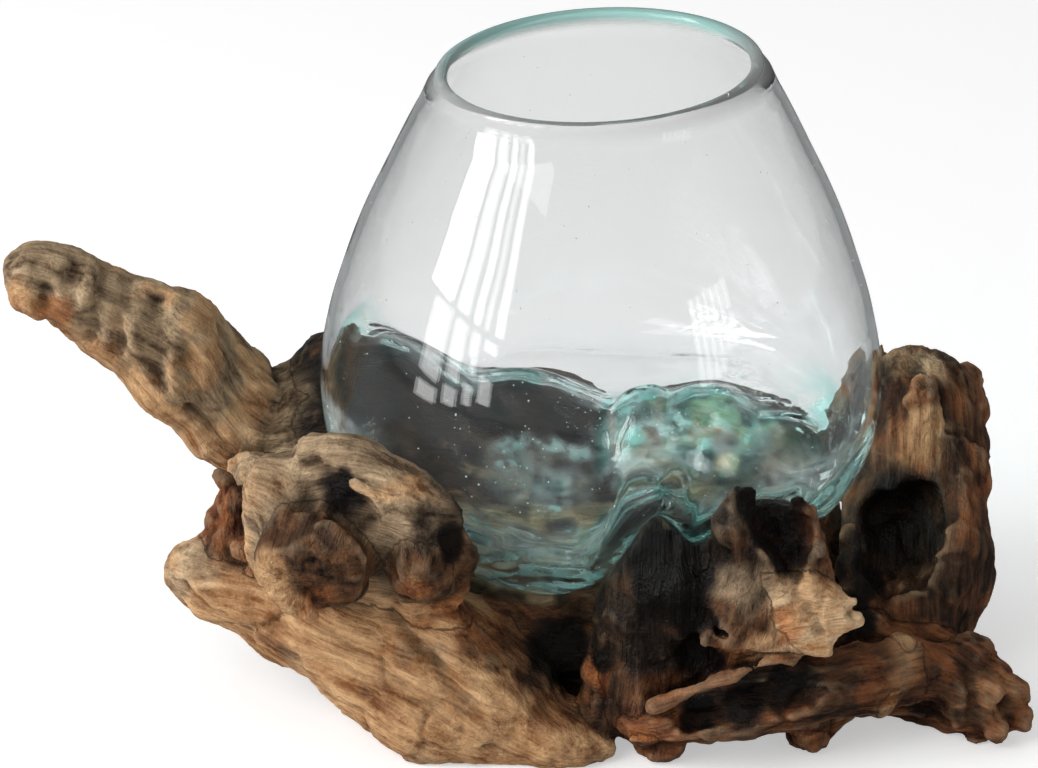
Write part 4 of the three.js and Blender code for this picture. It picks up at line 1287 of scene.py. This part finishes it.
# %% Pegs
pegs = [
    ("peg_front", "rust", [[41.5, -73, 14, 7], [41.5, -73, 4, 7]]),
    ("peg_front", "amber", [[47, -79, 14.5, 3.4], [41, -81, 14.5, 3.2], [35, -83, 12.5, 1.9],
                            [31.4, -83, 11.3, 0.7]]),
    ("peg_side", "rust", [[84, -70, 14, 5.2], [83.5, -71, 5, 5.2]]),
]
for seed, (name, finish, stations) in enumerate(pegs):
    join(name, finish, 1.0, stations, 140 + seed)
print("pegs", len(pegs))

# %% [markdown]
# Then the whole block gets the unevenness that no limb owns: lumps, dents and gouges.
# Random numbers on a coarse lattice are spread to the cells by smooth weights along each
# axis, which is three matrix products instead of millions of lookups.

# %% Unevenness of the whole root
def lattice_noise(size, seed):
    """Coarse random lattice times three matrices of cubic B-spline weights, one for each axis."""
    rng = np.random.default_rng(seed)
    counts = [int(math.ceil(n * cell / size)) + 4 for n in cells]
    field = rng.normal(size=counts).astype(np.float32)
    for axis in range(3):
        place = np.arange(cells[axis])[:, None] * cell / size + 1.5
        d = np.abs(place - np.arange(counts[axis])[None, :])
        w = np.where(d < 1, (4 - 6 * d * d + 3 * d**3) / 6, np.maximum(2 - d, 0) ** 3 / 6)
        field = np.moveaxis(np.tensordot(w.astype(np.float32), field, (1, axis)), 0, axis)
    return field / 0.36


wood += 0.35 + 0.65 * lattice_noise(10.0, 1) + 0.14 * lattice_noise(4.2, 5)
gouges, ridge_lines = lattice_noise(8.0, 2), lattice_noise(7.0, 6)
pressed_in = 0.8 * np.maximum(0, 0.9 - np.abs(gouges) * 2.0)
wood += pressed_in - 0.5 * np.maximum(0, 0.7 - np.abs(ridge_lines) * 2.0)
print("spread of the noise", round(float(gouges[::5, ::5, ::5].std()), 2))

# %% [markdown]
# ## Fitting the root to the glass, the table and its size
# The glass keeps a hairline gap all round and lifts straight up, so the shaft above its
# widest ring is free of wood. Under the glass only the wood's high spots come near, so more
# is taken there by an uneven amount. The bulb's outline is looked up in a table of angles,
# as there are millions of cells. The feet end just above the table, and the outer edges
# stay a little inside the model's box.

# %% Fit to the glass and the table
margin, foot_gap, shaft_gap = 0.8, 0.05, 0.4
xs, ys, zs = (low[k] + cell * np.arange(cells[k]) for k in range(3))
ix = slice(*np.searchsorted(xs, [vase_x - 90, vase_x + 90]))
iy = slice(*np.searchsorted(ys, [-88, 88]))
iz = slice(np.searchsorted(zs, 20), cells[2])
vx, vy = xs[ix][:, None], ys[iy][None, :]
height, steepness = wood_and_steepness(vx, vy)
vz = zs[iz][None, None, :]
fine_angles = np.linspace(0, np.pi, 4000)
fine_skin = bulb_distance(fine_angles)
fine_steep = np.hypot(1, np.gradient(fine_skin, fine_angles) / fine_skin)
ring = np.hypot(vx - vase_x, vy)[..., None]
angle = np.arctan2(ring, vz - sight_height)
bulb = np.hypot(ring, vz - sight_height) - np.interp(angle, fine_angles, fine_skin)
bulb = bulb / np.interp(angle, fine_angles, fine_steep)
glass_field = soft_max(bulb, (height[..., None] - vz) / steepness[..., None], crease_radius)
shaft = np.maximum(ring - (bulb_radius + seat_gap), equator_height - vz)
uneven_gap = seat_gap + 0.25 + np.clip(lattice_noise(7.0, 3)[ix, iy, iz] * 1.1 - 0.2, 0, 2.2)
taken = np.minimum(glass_field - uneven_gap, shaft - shaft_gap)
wood[ix, iy, iz] = np.maximum(wood[ix, iy, iz], -taken)
for axis, values in enumerate((xs, ys, zs)):
    shape = [1, 1, 1]
    shape[axis] = -1
    lowest = lowest_corner[axis] * 1000 - to_row[axis] + (margin if axis < 2 else foot_gap)
    highest = highest_corner[axis] * 1000 - to_row[axis] - margin
    wood = np.maximum(wood, np.maximum(lowest - values, values - highest).reshape(shape).astype(np.float32))
print("wood litres", round(float((wood < 0).sum() * cell**3 / 1e6), 3))

# %% [markdown]
# ## From cells to a skin
# The skin is where the distance is zero. The library that holds the cells draws it as
# evenly spaced quads. Loose crumbs are dropped.

# %% Skin of the root
grid = vdb.FloatGrid(reach)
grid.copyFromArray(np.clip(wood, -reach, reach).astype(np.float32))
skin, _, skin_quads = grid.convertToPolygons(0.0, 0.0)
skin = skin.astype(float) * cell + low
skin_quads = skin_quads.astype(np.int64)


def components(count, a, b):
    """Joins numbers a[i] and b[i] until each group shares its lowest number."""
    root = np.arange(count)
    while True:
        ra, rb = root[a], root[b]
        new = root.copy()
        np.minimum.at(new, np.maximum(ra, rb), np.minimum(ra, rb))
        while True:
            jump = new[new]
            if (jump == new).all():
                break
            new = jump
        if (new == root).all():
            return root
        root = new


def compact(points, quads):
    """Keeps only the points that the quads use, renumbered."""
    used = np.unique(quads)
    number = np.full(len(points), -1)
    number[used] = np.arange(len(used))
    return points[used], number[quads], used


group = components(len(skin), skin_quads[:, [0, 1, 2]].ravel(), skin_quads[:, [1, 2, 3]].ravel())
biggest = np.bincount(group).argmax()
skin, skin_quads, _ = compact(skin, skin_quads[group[skin_quads[:, 0]] == biggest])
if volume_of(skin, [skin_quads]) < 0:
    skin_quads = skin_quads[:, ::-1]
print("skin quads", len(skin_quads))

# %% [markdown]
# How full the block is round a point says whether it lies on an edge or in a hollow. The
# mean over 1.6 mm finds small grooves and edges, and over 5 mm the hollows. The material
# paints shade into the grooves and hollows and paints the edges paler, partly as rubbed
# wear and partly as highlight.

# %% Normals and looking things up in the block
def point_normals(points, quads):
    """Crossed diagonals of every quad, summed at its corners."""
    face = np.cross(points[quads[:, 2]] - points[quads[:, 0]], points[quads[:, 3]] - points[quads[:, 1]])
    total = np.stack([np.bincount(quads.ravel(), np.repeat(face[:, k], 4), len(points)) for k in range(3)], -1)
    return total / np.maximum(np.linalg.norm(total, axis=1, keepdims=True), 1e-9)


def look_up(block, first, points, outside):
    """Straight blend of the eight cells round each point; outside the block it is a constant."""
    place = (points - low) / cell - first
    i = np.floor(place).astype(int)
    f = place - i
    ok = ((i >= 0) & (i < np.array(block.shape) - 1)).all(1)
    i, f = i[ok], f[ok]
    total = 0.0
    for a, b, c in eight_corners:
        w = np.abs(1 - a - f[:, 0]) * np.abs(1 - b - f[:, 1]) * np.abs(1 - c - f[:, 2])
        total = total + w * block[i[:, 0] + a, i[:, 1] + b, i[:, 2] + c]
    value = np.full(len(points), float(outside))
    value[ok] = total
    return value


def box_blur(block, radius):
    """Running sums along each axis: the mean of the cells within a radius."""
    n = max(1, int(round(radius / cell)))
    out = block.astype(np.float32)
    for axis in range(3):
        sums = np.cumsum(out, axis=axis, dtype=np.float64)
        padded = np.concatenate([np.zeros_like(np.take(out, [0], axis)), sums], axis)
        size = out.shape[axis]
        hi = np.minimum(np.arange(size) + n + 1, size)
        lo = np.maximum(np.arange(size) - n, 0)
        shape = [1, 1, 1]
        shape[axis] = -1
        within = np.take(padded, hi, axis) - np.take(padded, lo, axis)
        out = (within / (hi - lo).reshape(shape)).astype(np.float32)
    return out


filled = np.clip(0.5 - wood / (2 * cell), 0, 1)
normals = point_normals(skin, skin_quads)
crease, hollow = (look_up(box_blur(filled, size), np.zeros(3, int), skin, 0) - 0.5 for size in (1.6, 5.0))
print("crease", np.percentile(crease, [5, 50, 95]).round(3), "hollow", np.percentile(hollow, [5, 50, 95]).round(3))

# %% [markdown]
# ## Who owns each patch, and how its grain runs
# Each point of the skin knows the limbs near it. Their finishes blend over a millimetre
# or two, and so do the grain's streaks, which are worked in each limb's own straightened
# frame. The point's place in the frame of the limb that owns it is kept for the material.

# %% Finishes and grain at each point
finishes = ["tan", "grey", "rust", "dark", "char", "pale", "amber"]
column_of = {finish: k for k, finish in enumerate(finishes)}
near_edge = reach - 0.5
weight = np.zeros((len(skin), len(finishes)))
streak = np.zeros(len(skin))
closeness = np.zeros(len(skin))
grain = np.zeros((len(skin), 3))
owned = np.full(len(skin), -1)
best = np.full(len(skin), 1e9)


def share_at(distance):
    """How strongly a limb counts: exp(-distance / 1.1), the same from 1 mm inside it on."""
    return np.exp(-np.maximum(distance, -1) / 1.1)


for number, finish, first, part in blocks:
    distance = look_up(part, first, skin, reach)
    share = np.where(distance < near_edge, share_at(distance), 0)
    weight[:, column_of[finish]] += share
    mine = (distance < best) & (share > 0)
    best[mine] = distance[mine]
    owned[mine] = number
for number, (name, finish, across, lumps, ridges, stations) in enumerate(limbs):
    distance = look_up(blocks[number][3], blocks[number][2], skin, reach)
    near = np.flatnonzero((distance < near_edge) | (owned == number))
    middle, halves, tangent, wide, high, run = limb_frame(stations, across, np.linspace(0, 1, 90))
    p = skin[near]
    gaps = (p**2).sum(1)[:, None] + (middle**2).sum(1)[None] - 2 * p @ middle.T
    k = gaps.argmin(1)
    away = p - middle[k]
    local = np.stack([(away * wide[k]).sum(1), (away * high[k]).sum(1), run[k] + (away * tangent[k]).sum(1)], -1)
    local += 2.5 * speckle(p / 24.0, 3)[:, None]
    value = (
        0.5 * speckle(local / [2.0, 2.0, 30.0], number)
        + 0.9 * (creases(local / [4.6, 4.6, 44.0], number + 4) - 0.22)
        - 0.9 * (creases(local / [6.0, 6.0, 60.0], number + 9) - 0.22)
    )
    share = share_at(distance[near])
    streak[near] += share * value
    closeness[near] += share
    grain[near] = np.where((owned[near] == number)[:, None], local, grain[near])
lost = owned < 0
print("points with no limb near", int(lost.sum()))
streak /= np.maximum(closeness, 1e-6)
weight[lost, column_of["dark"]] = 1
weight /= weight.sum(1, keepdims=True)

# %% [markdown]
# Places where the real root has another colour than its limb are given as soft balls:
# a place, a radius, a finish and a strength. The char balls all sit in hollows, the horn's
# split, the pits and folds, the slab's hole and the bark's trough, and are painted shade
# there. The darkest painted shade goes into the same holes, given as a place and a radius
# each. Then finishes wander into each other in patches, and under the glass the wood is
# burnt and darker still, and in three places it is painted pale, as painted light where
# the shining glass lies over it.

# %% Stains, burns, painted shade and painted light
stains_and_painted_shade = [
    (-135, -9, 110, 7, "amber", 0.7),
    (-144, -8, 114, 6, "tan", 0.7),
    (-123, -4, 91, 9, "tan", 0.8),
    (-112, -3, 82, 10, "tan", 0.8),
    (-98, -2, 64, 13, "pale", 0.35),
    (-84, -4, 58, 9, "tan", 0.8),
    (-90, 6, 100, 10, "tan", 0.4),
    (-74, 2, 74, 9, "dark", 0.5),
    (-70, -64, 82, 10, "tan", 0.4),
    # Painted shade: these two char balls sit in a pocket and a fold of the burl.
    (-50, -71, 84, 8, "char", 0.9),
    (-22, -78, 78, 9, "char", 0.7),
    (-15, -74, 66, 9, "dark", 0.9),
    (-69, -84, 67, 7, "tan", 0.7),
    (-30, -86, 60, 7, "amber", 0.6),
    (-54, -86, 56, 8, "amber", 0.6),
    (-20, -71, 49, 9, "amber", 0.7),
    (-30, -88, 66, 5, "tan", 0.5),
    (-100, -38, 40, 10, "grey", 0.8),
    (-70, -64, 30, 9, "rust", 0.6),
    (-40, -80, 22, 10, "rust", 0.4),
    (0, -62, 34, 15, "dark", 0.9),
    (14, -66, 16, 14, "dark", 0.9),
    (24, -72, 28, 7, "amber", 0.5),
    (-8, -72, 41, 13, "rust", 0.9),
    (4, -70, 31, 12, "dark", 0.9),
    (10, -78, 18, 8, "rust", 0.7),
    (-18, -82, 24, 6, "rust", 0.3),
    (36, -80, 24, 9, "rust", 0.5),
    (45, -79, 49, 6, "amber", 0.4),
    (62, -82, 60, 9, "grey", 0.6),
    (67, -84, 43, 8, "tan", 0.8),
    (60, -84, 41, 6, "amber", 0.5),
    (86, -86, 51, 10, "pale", 1.0),
    (80, -86, 46, 6, "pale", 0.9),
    (97, -30, 56, 12, "dark", 0.8),
    (44, -84, 27, 9, "rust", 0.9),
    (60, -84, 35, 6, "rust", 0.9),
    (60, -84, 30, 6, "rust", 0.6),
    (74, -84, 52, 7, "amber", 0.8),
    (80, -84, 56, 7, "tan", 0.5),
    # Painted shade: the char balls from here on sit in the horn's split, pits, the saddle's recess, the slab's
    # hole, the bark's trough and a pocket of the burl.
    (69, -82, 84, 11, "char", 1.0),
    (73, -82, 73, 8, "char", 1.0),
    (57, -82, 48.5, 5.5, "char", 1.0),
    (49.5, -77, 37, 9, "char", 1.0),
    (40, -80, 68, 12, "char", 1.0),
    (112, -20, 48, 20, "char", 1.0),
    (104, -36, 44, 12, "char", 1.0),
    (54, -84, 23, 8, "char", 1.0),
    (67, -83, 27, 9, "char", 1.0),
    (80, -80, 29, 8, "char", 1.0),
    (-48, -70, 84, 8, "char", 0.8),
    (117, -9, 65, 9, "tan", 0.6),
    (98, -40, 48, 12, "dark", 0.9),
    (62, -84, 14, 14, "dark", 0.7),
    (86, -79, 15, 11, "dark", 0.7),
    (-86, -2, 50, 12, "pale", 0.5),
    (-106, -3, 76, 9, "tan", 0.9),
    (112, -46, 32, 12, "rust", 0.7),
    (120, 4, 88, 9, "grey", 0.7),
    (132, -16, 60, 10, "rust", 0.7),
    (107, -66, 24, 7, "tan", 0.6),
    (136, -66, 14, 9, "tan", 0.3),
]
# Painted shade: the darkest shade in the horn's split, the pits, the slab's hole and the bark's trough, a place
# and a radius each.
painted_shade_spots = [
    (69, -79, 88, 13), (71, -80, 79, 11), (74, -82, 72, 7), (49.5, -78, 37, 10), (57, -82, 48.5, 5),
    (22, -80, 34, 8), (40, -80, 64, 15), (46, -80, 52, 9), (112, -22, 48, 17), (104, -38, 44, 14),
    (50, -84, 22, 7), (62, -84, 25, 8), (76, -83, 28, 8), (-48, -70, 84, 6), (-19, -77, 73, 6),
    (12, -60, 26, 13), (30, -70, 32, 8), (100, -30, 30, 9), (96, -48, 32, 9),
]
# from, to, where it starts and is full on the scale of patchy, greatest share
wanderings = [
    ("tan", "rust", 0.45, 0.85, 0.5), ("tan", "grey", -0.35, -0.75, 0.5),
    ("grey", "tan", 0.10, 0.60, 0.8), ("grey", "dark", -0.35, -0.85, 0.30),
    ("rust", "dark", -0.10, -0.55, 0.8), ("rust", "tan", 0.45, 0.85, 0.4),
    ("dark", "rust", 0.15, 0.60, 0.7), ("char", "dark", 0.25, 0.70, 0.6),
    ("dark", "char", -0.25, -0.60, 0.6),
]
# the hollow value gives painted shade in hollows from its first threshold, and the darkest shade between the other
# two: painted shade in holes, and darker burnt wood under the glass
hollow_start, darkest_shade_start, darkest_shade_full = 0.01, 0.24, 0.36
# Painted light: three pale patches on the wood under the glass, where the glass above shines.
# x, y, two half sizes, edge
painted_light_spots = [(2, -30, 34, 30, 1.5), (86, -18, 14, 24, 1.4), (57, 10, 24, 18, 1.5)]
for x, y, z, radius, finish, strength in stains_and_painted_shade:
    d = np.linalg.norm(skin - [x, y, z], axis=1) + 2.5 * speckle(skin / 6.0, 21) + 1.5 * streak
    share = strength * np.clip((radius - d) / (0.4 * radius), 0, 1)
    weight *= (1 - share)[:, None]
    weight[:, column_of[finish]] += share
patchy = speckle(skin / 13.0, 23) + 0.45 * speckle(skin / 5.0, 24) + 0.35 * streak
for source, goal, start, full, most in wanderings:
    moved = weight[:, column_of[source]] * (most * np.clip((patchy - start) / (full - start), 0, 1))
    weight[:, column_of[source]] -= moved
    weight[:, column_of[goal]] += moved
under_glass = vase_field(*skin.T)
burnt = np.clip((5.0 - under_glass) / 3.0, 0, 1) * np.clip((92 - skin[:, 2]) / 10, 0, 1)
painted_light_share = np.zeros(len(skin))
for x, y, half_x, half_y, edge in painted_light_spots:
    spot = np.clip(edge - np.hypot((skin[:, 0] - x) / half_x, (skin[:, 1] - y) / half_y), 0, 1)
    painted_light_share = np.maximum(painted_light_share, spot)
painted_light_share *= burnt * np.clip(0.70 + 1.5 * speckle(skin / 7.0, 26), 0.1, 1)
burnt *= np.clip(0.9 + 0.7 * speckle(skin / 8.0, 22), 0, 1)
weight *= (1 - burnt)[:, None]
# Under the glass the burnt wood is char, and in the three patches it is pale, as painted light.
weight[:, column_of["char"]] += burnt * (1 - painted_light_share)
weight[:, column_of["pale"]] += burnt * painted_light_share * 0.65
weight[:, column_of["grey"]] += burnt * painted_light_share * 0.35
# The burnt wood under the glass is made darker, and the spots above paint the darkest shade into the holes.
dark_under_glass_and_painted_shade = 0.6 * burnt * (1 - painted_light_share)
for x, y, z, radius in painted_shade_spots:
    d = np.linalg.norm(skin - [x, y, z], axis=1) + 2.5 * speckle(skin / 5.0, 28)
    dark_under_glass_and_painted_shade = np.maximum(dark_under_glass_and_painted_shade, np.clip((radius - d) / (0.35 * radius), 0, 1))
hollow = np.maximum(hollow, darkest_shade_full * dark_under_glass_and_painted_shade)
print("share of each finish", dict(zip(finishes, weight.mean(0).round(2))))

# %% [markdown]
# Fine relief: the grain's dark lines are pressed in a little and its pale lines stand up.

# %% Fine relief
relief = 0.42 * streak + 0.14 * speckle(skin / 1.8, 30) + 0.26 * speckle(skin / 3.3, 31)
near_glass = np.clip((under_glass - 0.45) / 0.5, 0, 1)
skin = skin + normals * (relief * near_glass)[:, None]
skin[:, 2] = np.maximum(skin[:, 2], 0.02)
normals = point_normals(skin, skin_quads)
print("relief in mm", np.percentile(relief, [5, 95]).round(2))

# %% [markdown]
# ## One piece for each limb
# The skin is cut along the borders between limbs, so that each limb of the model has a
# piece of its own. A few rounds of votes among neighbours smooth the borders, and small
# islands go to their neighbour.

# %% Borders between the limbs
vote_rounds, votes_needed = 6, 3
island_rounds, smallest_island = 4, 150
face_owner = owned[skin_quads]
edge_a = skin_quads
edge_b = np.roll(skin_quads, -1, axis=1)
edge_key = np.minimum(edge_a, edge_b) * len(skin) + np.maximum(edge_a, edge_b)
order = np.argsort(edge_key.ravel(), kind="stable")
sorted_key = edge_key.ravel()[order]
pair = np.flatnonzero(sorted_key[1:] == sorted_key[:-1])
side_a, side_b = order[pair] // 4, order[pair + 1] // 4

agree = (face_owner[:, :, None] == face_owner[:, None, :]).sum(2)
label = np.maximum(face_owner[np.arange(len(face_owner)), agree.argmax(1)], 0)
for _ in range(vote_rounds):
    votes = np.zeros((len(label), len(limbs)), np.int16)
    np.add.at(votes, (side_a, label[side_b]), 1)
    np.add.at(votes, (side_b, label[side_a]), 1)
    votes[np.arange(len(label)), label] += 1
    top = votes.argmax(1)
    label = np.where(votes[np.arange(len(label)), top] >= votes_needed, top, label)
for _ in range(island_rounds):
    same = label[side_a] == label[side_b]
    island = components(len(label), side_a[same], side_b[same])
    size = np.bincount(island, minlength=len(label))[island]
    small = size < smallest_island
    if not small.any():
        break
    border = np.flatnonzero(~same)
    for a, b in ((side_a[border], side_b[border]), (side_b[border], side_a[border])):
        take = small[a] & ~small[b]
        goal = np.full(len(label), -1)
        goal[island[a[take]]] = label[b[take]]
        label = np.where(small & (goal[island] >= 0), goal[island], label)
        small = small & (goal[island] < 0)
print("quads for each limb", dict(zip(limb_names, np.bincount(label, minlength=len(limbs)))))

# %% [markdown]
# Each patch then gets an inner wall just under it and a rim between the two, so every
# piece is closed. All points keep the normal of the whole skin, so the borders don't show.
# The material mixes the finishes one after the other, so each one's mask is its share of
# what is laid down so far.

# %% Closed patches
patch_wall, table_gap = 0.8, 0.05


def closed_patch(quads):
    """The patch, the same patch further in and turned round, and a rim of quads between."""
    points, local, used = compact(skin, quads)
    inner = points - normals[used] * patch_wall
    inner[:, 2] = np.maximum(inner[:, 2], table_gap)
    a, b = local.ravel(), np.roll(local, -1, axis=1).ravel()
    key = np.minimum(a, b) * len(points) + np.maximum(a, b)
    _, index, count = np.unique(key, return_index=True, return_counts=True)
    edge = index[count == 1]
    n = len(points)
    rim = np.stack([b[edge], a[edge], a[edge] + n, b[edge] + n], -1)
    faces = np.vstack([local, local[:, ::-1] + n, rim])
    return np.vstack([points, inner]), faces, np.vstack([normals[used], -normals[used]]), used


mask = weight / np.maximum(np.cumsum(weight, axis=1), 1e-6)
slots = {p["node"]: p["material_slot"] for p in frame["record"]["subparts"]}
wood_pieces = {}
for number, name in enumerate(limb_names):
    mine = skin_quads[label == number]
    if not len(mine):
        print("no skin for", name)
        continue
    points, faces, piece_normals, used = closed_patch(mine)
    piece = make_piece("wood_" + name, metres(points), [faces], piece_normals, "root", [name])
    twice = np.concatenate([used, used])
    give(piece, "grain", grain[twice] / 1000)
    give(piece, "finish_a", mask[twice][:, 1:4])
    give(piece, "finish_b", mask[twice][:, 4:7])
    give(piece, "hollow", np.column_stack([crease, hollow, streak])[twice])
    wood_pieces[name] = piece
print("wood pieces", len(wood_pieces), "triangles", sum(2 * len(p.data.polygons) for p in wood_pieces.values()))

# %% [markdown]
# ## Wood finishes
# One recipe serves every wood finish, because the real root is one grown thing and its
# colours run into each other. Seven tones, each with a dark and a light side, are mixed by
# the masks worked out above. The grain's streaks choose between dark and light. Hollows,
# holes and grooves get painted shade, the burnt wood under the glass is darker still, and
# edges are painted paler, partly as rubbed wear and partly as painted highlight. The
# finest grain is noise in the limb's own frame, drawn out along it, and it also raises the
# bump.

# %% Wood finishes
tones = {
    "tan": (tone(136, 86, 46), tone(224, 180, 132)),
    "grey": (tone(94, 74, 54), tone(208, 180, 144)),
    "rust": (tone(56, 24, 10), tone(150, 92, 54)),
    "dark": (tone(30, 16, 8), tone(116, 78, 50)),
    "char": (tone(9, 7, 6), tone(50, 39, 31)),
    "pale": (tone(172, 120, 72), tone(250, 220, 178)),
    "amber": (tone(104, 50, 20), tone(196, 122, 66)),
}


def wood_material(name, roughness):
    """The recipe: tones, cracks, painted shade in hollows, holes and grooves and over the burnt wood under the
    glass, edges painted paler as wear and highlight, and a bump of the grain.
    """
    material, web = new_material(name)
    grain_place = web.add("Attribute", attribute_name="grain").outputs["Vector"]
    masks = [*web.parts_of("finish_a"), *web.parts_of("finish_b")]
    crease_value, hollow_value, streak_value = web.parts_of("hollow")
    place = web.add("TexCoord").outputs["Object"]
    drawn = web.add("Mapping", {"Vector": grain_place, "Scale": (1.0, 1.0, 0.10)}).outputs[0]

    def noise(where, scale, detail):
        inputs = {"Vector": where, "Scale": scale, "Detail": detail, "Roughness": 0.6}
        return web.add("TexNoise", inputs).outputs["Fac"]

    def line(where, scale, width):
        """1 on thin lines where the noise is at its middle, 0 away from them."""
        away = web.math("ABSOLUTE", web.less(noise(where, scale, 2.0), 0.5))
        return web.ramp(away, width, 0.0)

    fibre, coarse = noise(drawn, 1100.0, 4.0), noise(drawn, 300.0, 3.0)
    blotch, pores = noise(place, 90.0, 5.0), noise(place, 1000.0, 2.0)
    cracks = web.times(line(drawn, 170.0, 0.020), web.ramp(blotch, 0.42, 0.60))
    light = web.times(streak_value, 0.50)
    for value, share in ((fibre, 1.2), (coarse, 1.2), (blotch, 1.3), (pores, 0.5)):
        light = web.plus(light, web.times(value, share))
    light = web.ramp(light, 1.60, 2.62)
    shades = [web.mix(light, *tones[finish]) for finish in finishes]
    colour = shades[0]
    for mask_value, shade in zip(masks, shades[1:]):
        colour = web.mix(mask_value, colour, shade)
    # Painted shade: hollows, the darkest holes and grooves are darkened on top of the shade the lamps give.
    deep = web.ramp(hollow_value, hollow_start, darkest_shade_start)
    darkest_shade = web.ramp(hollow_value, darkest_shade_start, darkest_shade_full)
    groove_shade = web.ramp(crease_value, 0.01, 0.13)
    # Cracks are grain lines; the other three darks are painted shade.
    for value, share, dark in (
        (cracks, 0.18, tone(34, 19, 10)),
        (deep, 0.82, tone(14, 9, 6)),
        (darkest_shade, 0.80, tone(8, 6, 5)),
        (groove_shade, 0.55, tone(34, 18, 9)),
    ):
        colour = web.mix(web.times(value, share), colour, dark)
    # Convex edges painted paler: partly rubbed wear, partly painted highlight.
    rubbed_and_highlit = web.times(web.ramp(crease_value, -0.03, -0.16), web.less(1.0, deep))
    colour = web.mix(web.times(rubbed_and_highlit, 0.40), colour, web.mix(0.5, colour, tone(222, 190, 152)))
    raised = web.plus(web.times(fibre, 0.6), web.times(coarse, 1.2))
    raised = web.plus(raised, web.times(pores, 0.4))
    raised = web.less(raised, web.times(cracks, 0.2))
    bump = web.add("Bump", {"Height": raised, "Strength": 1.0, "Distance": 0.0012})
    rough = web.less(roughness, web.times(masks[column_of["char"] - 1], 0.22))
    shader = web.add(
        "BsdfPrincipled",
        {"Base Color": colour, "Roughness": rough, "Normal": bump.outputs[0], "Specular IOR Level": 0.22},
    )
    web.add("OutputMaterial", {"Surface": shader.outputs[0]})
    return material


roughness_of = {
    "weathered_bark": 0.78, "tan_wood": 0.74, "knot_wood": 0.66, "dark_wood": 0.66,
    "charred_wood": 0.60, "broken_wood": 0.80, "red_brown_wood": 0.64,
}
wood_finishes = {slot: wood_material(slot, value) for slot, value in roughness_of.items()}
for name, piece in wood_pieces.items():
    piece.data.materials.append(wood_finishes[slots[name]])
print("wood finishes", len(wood_finishes))
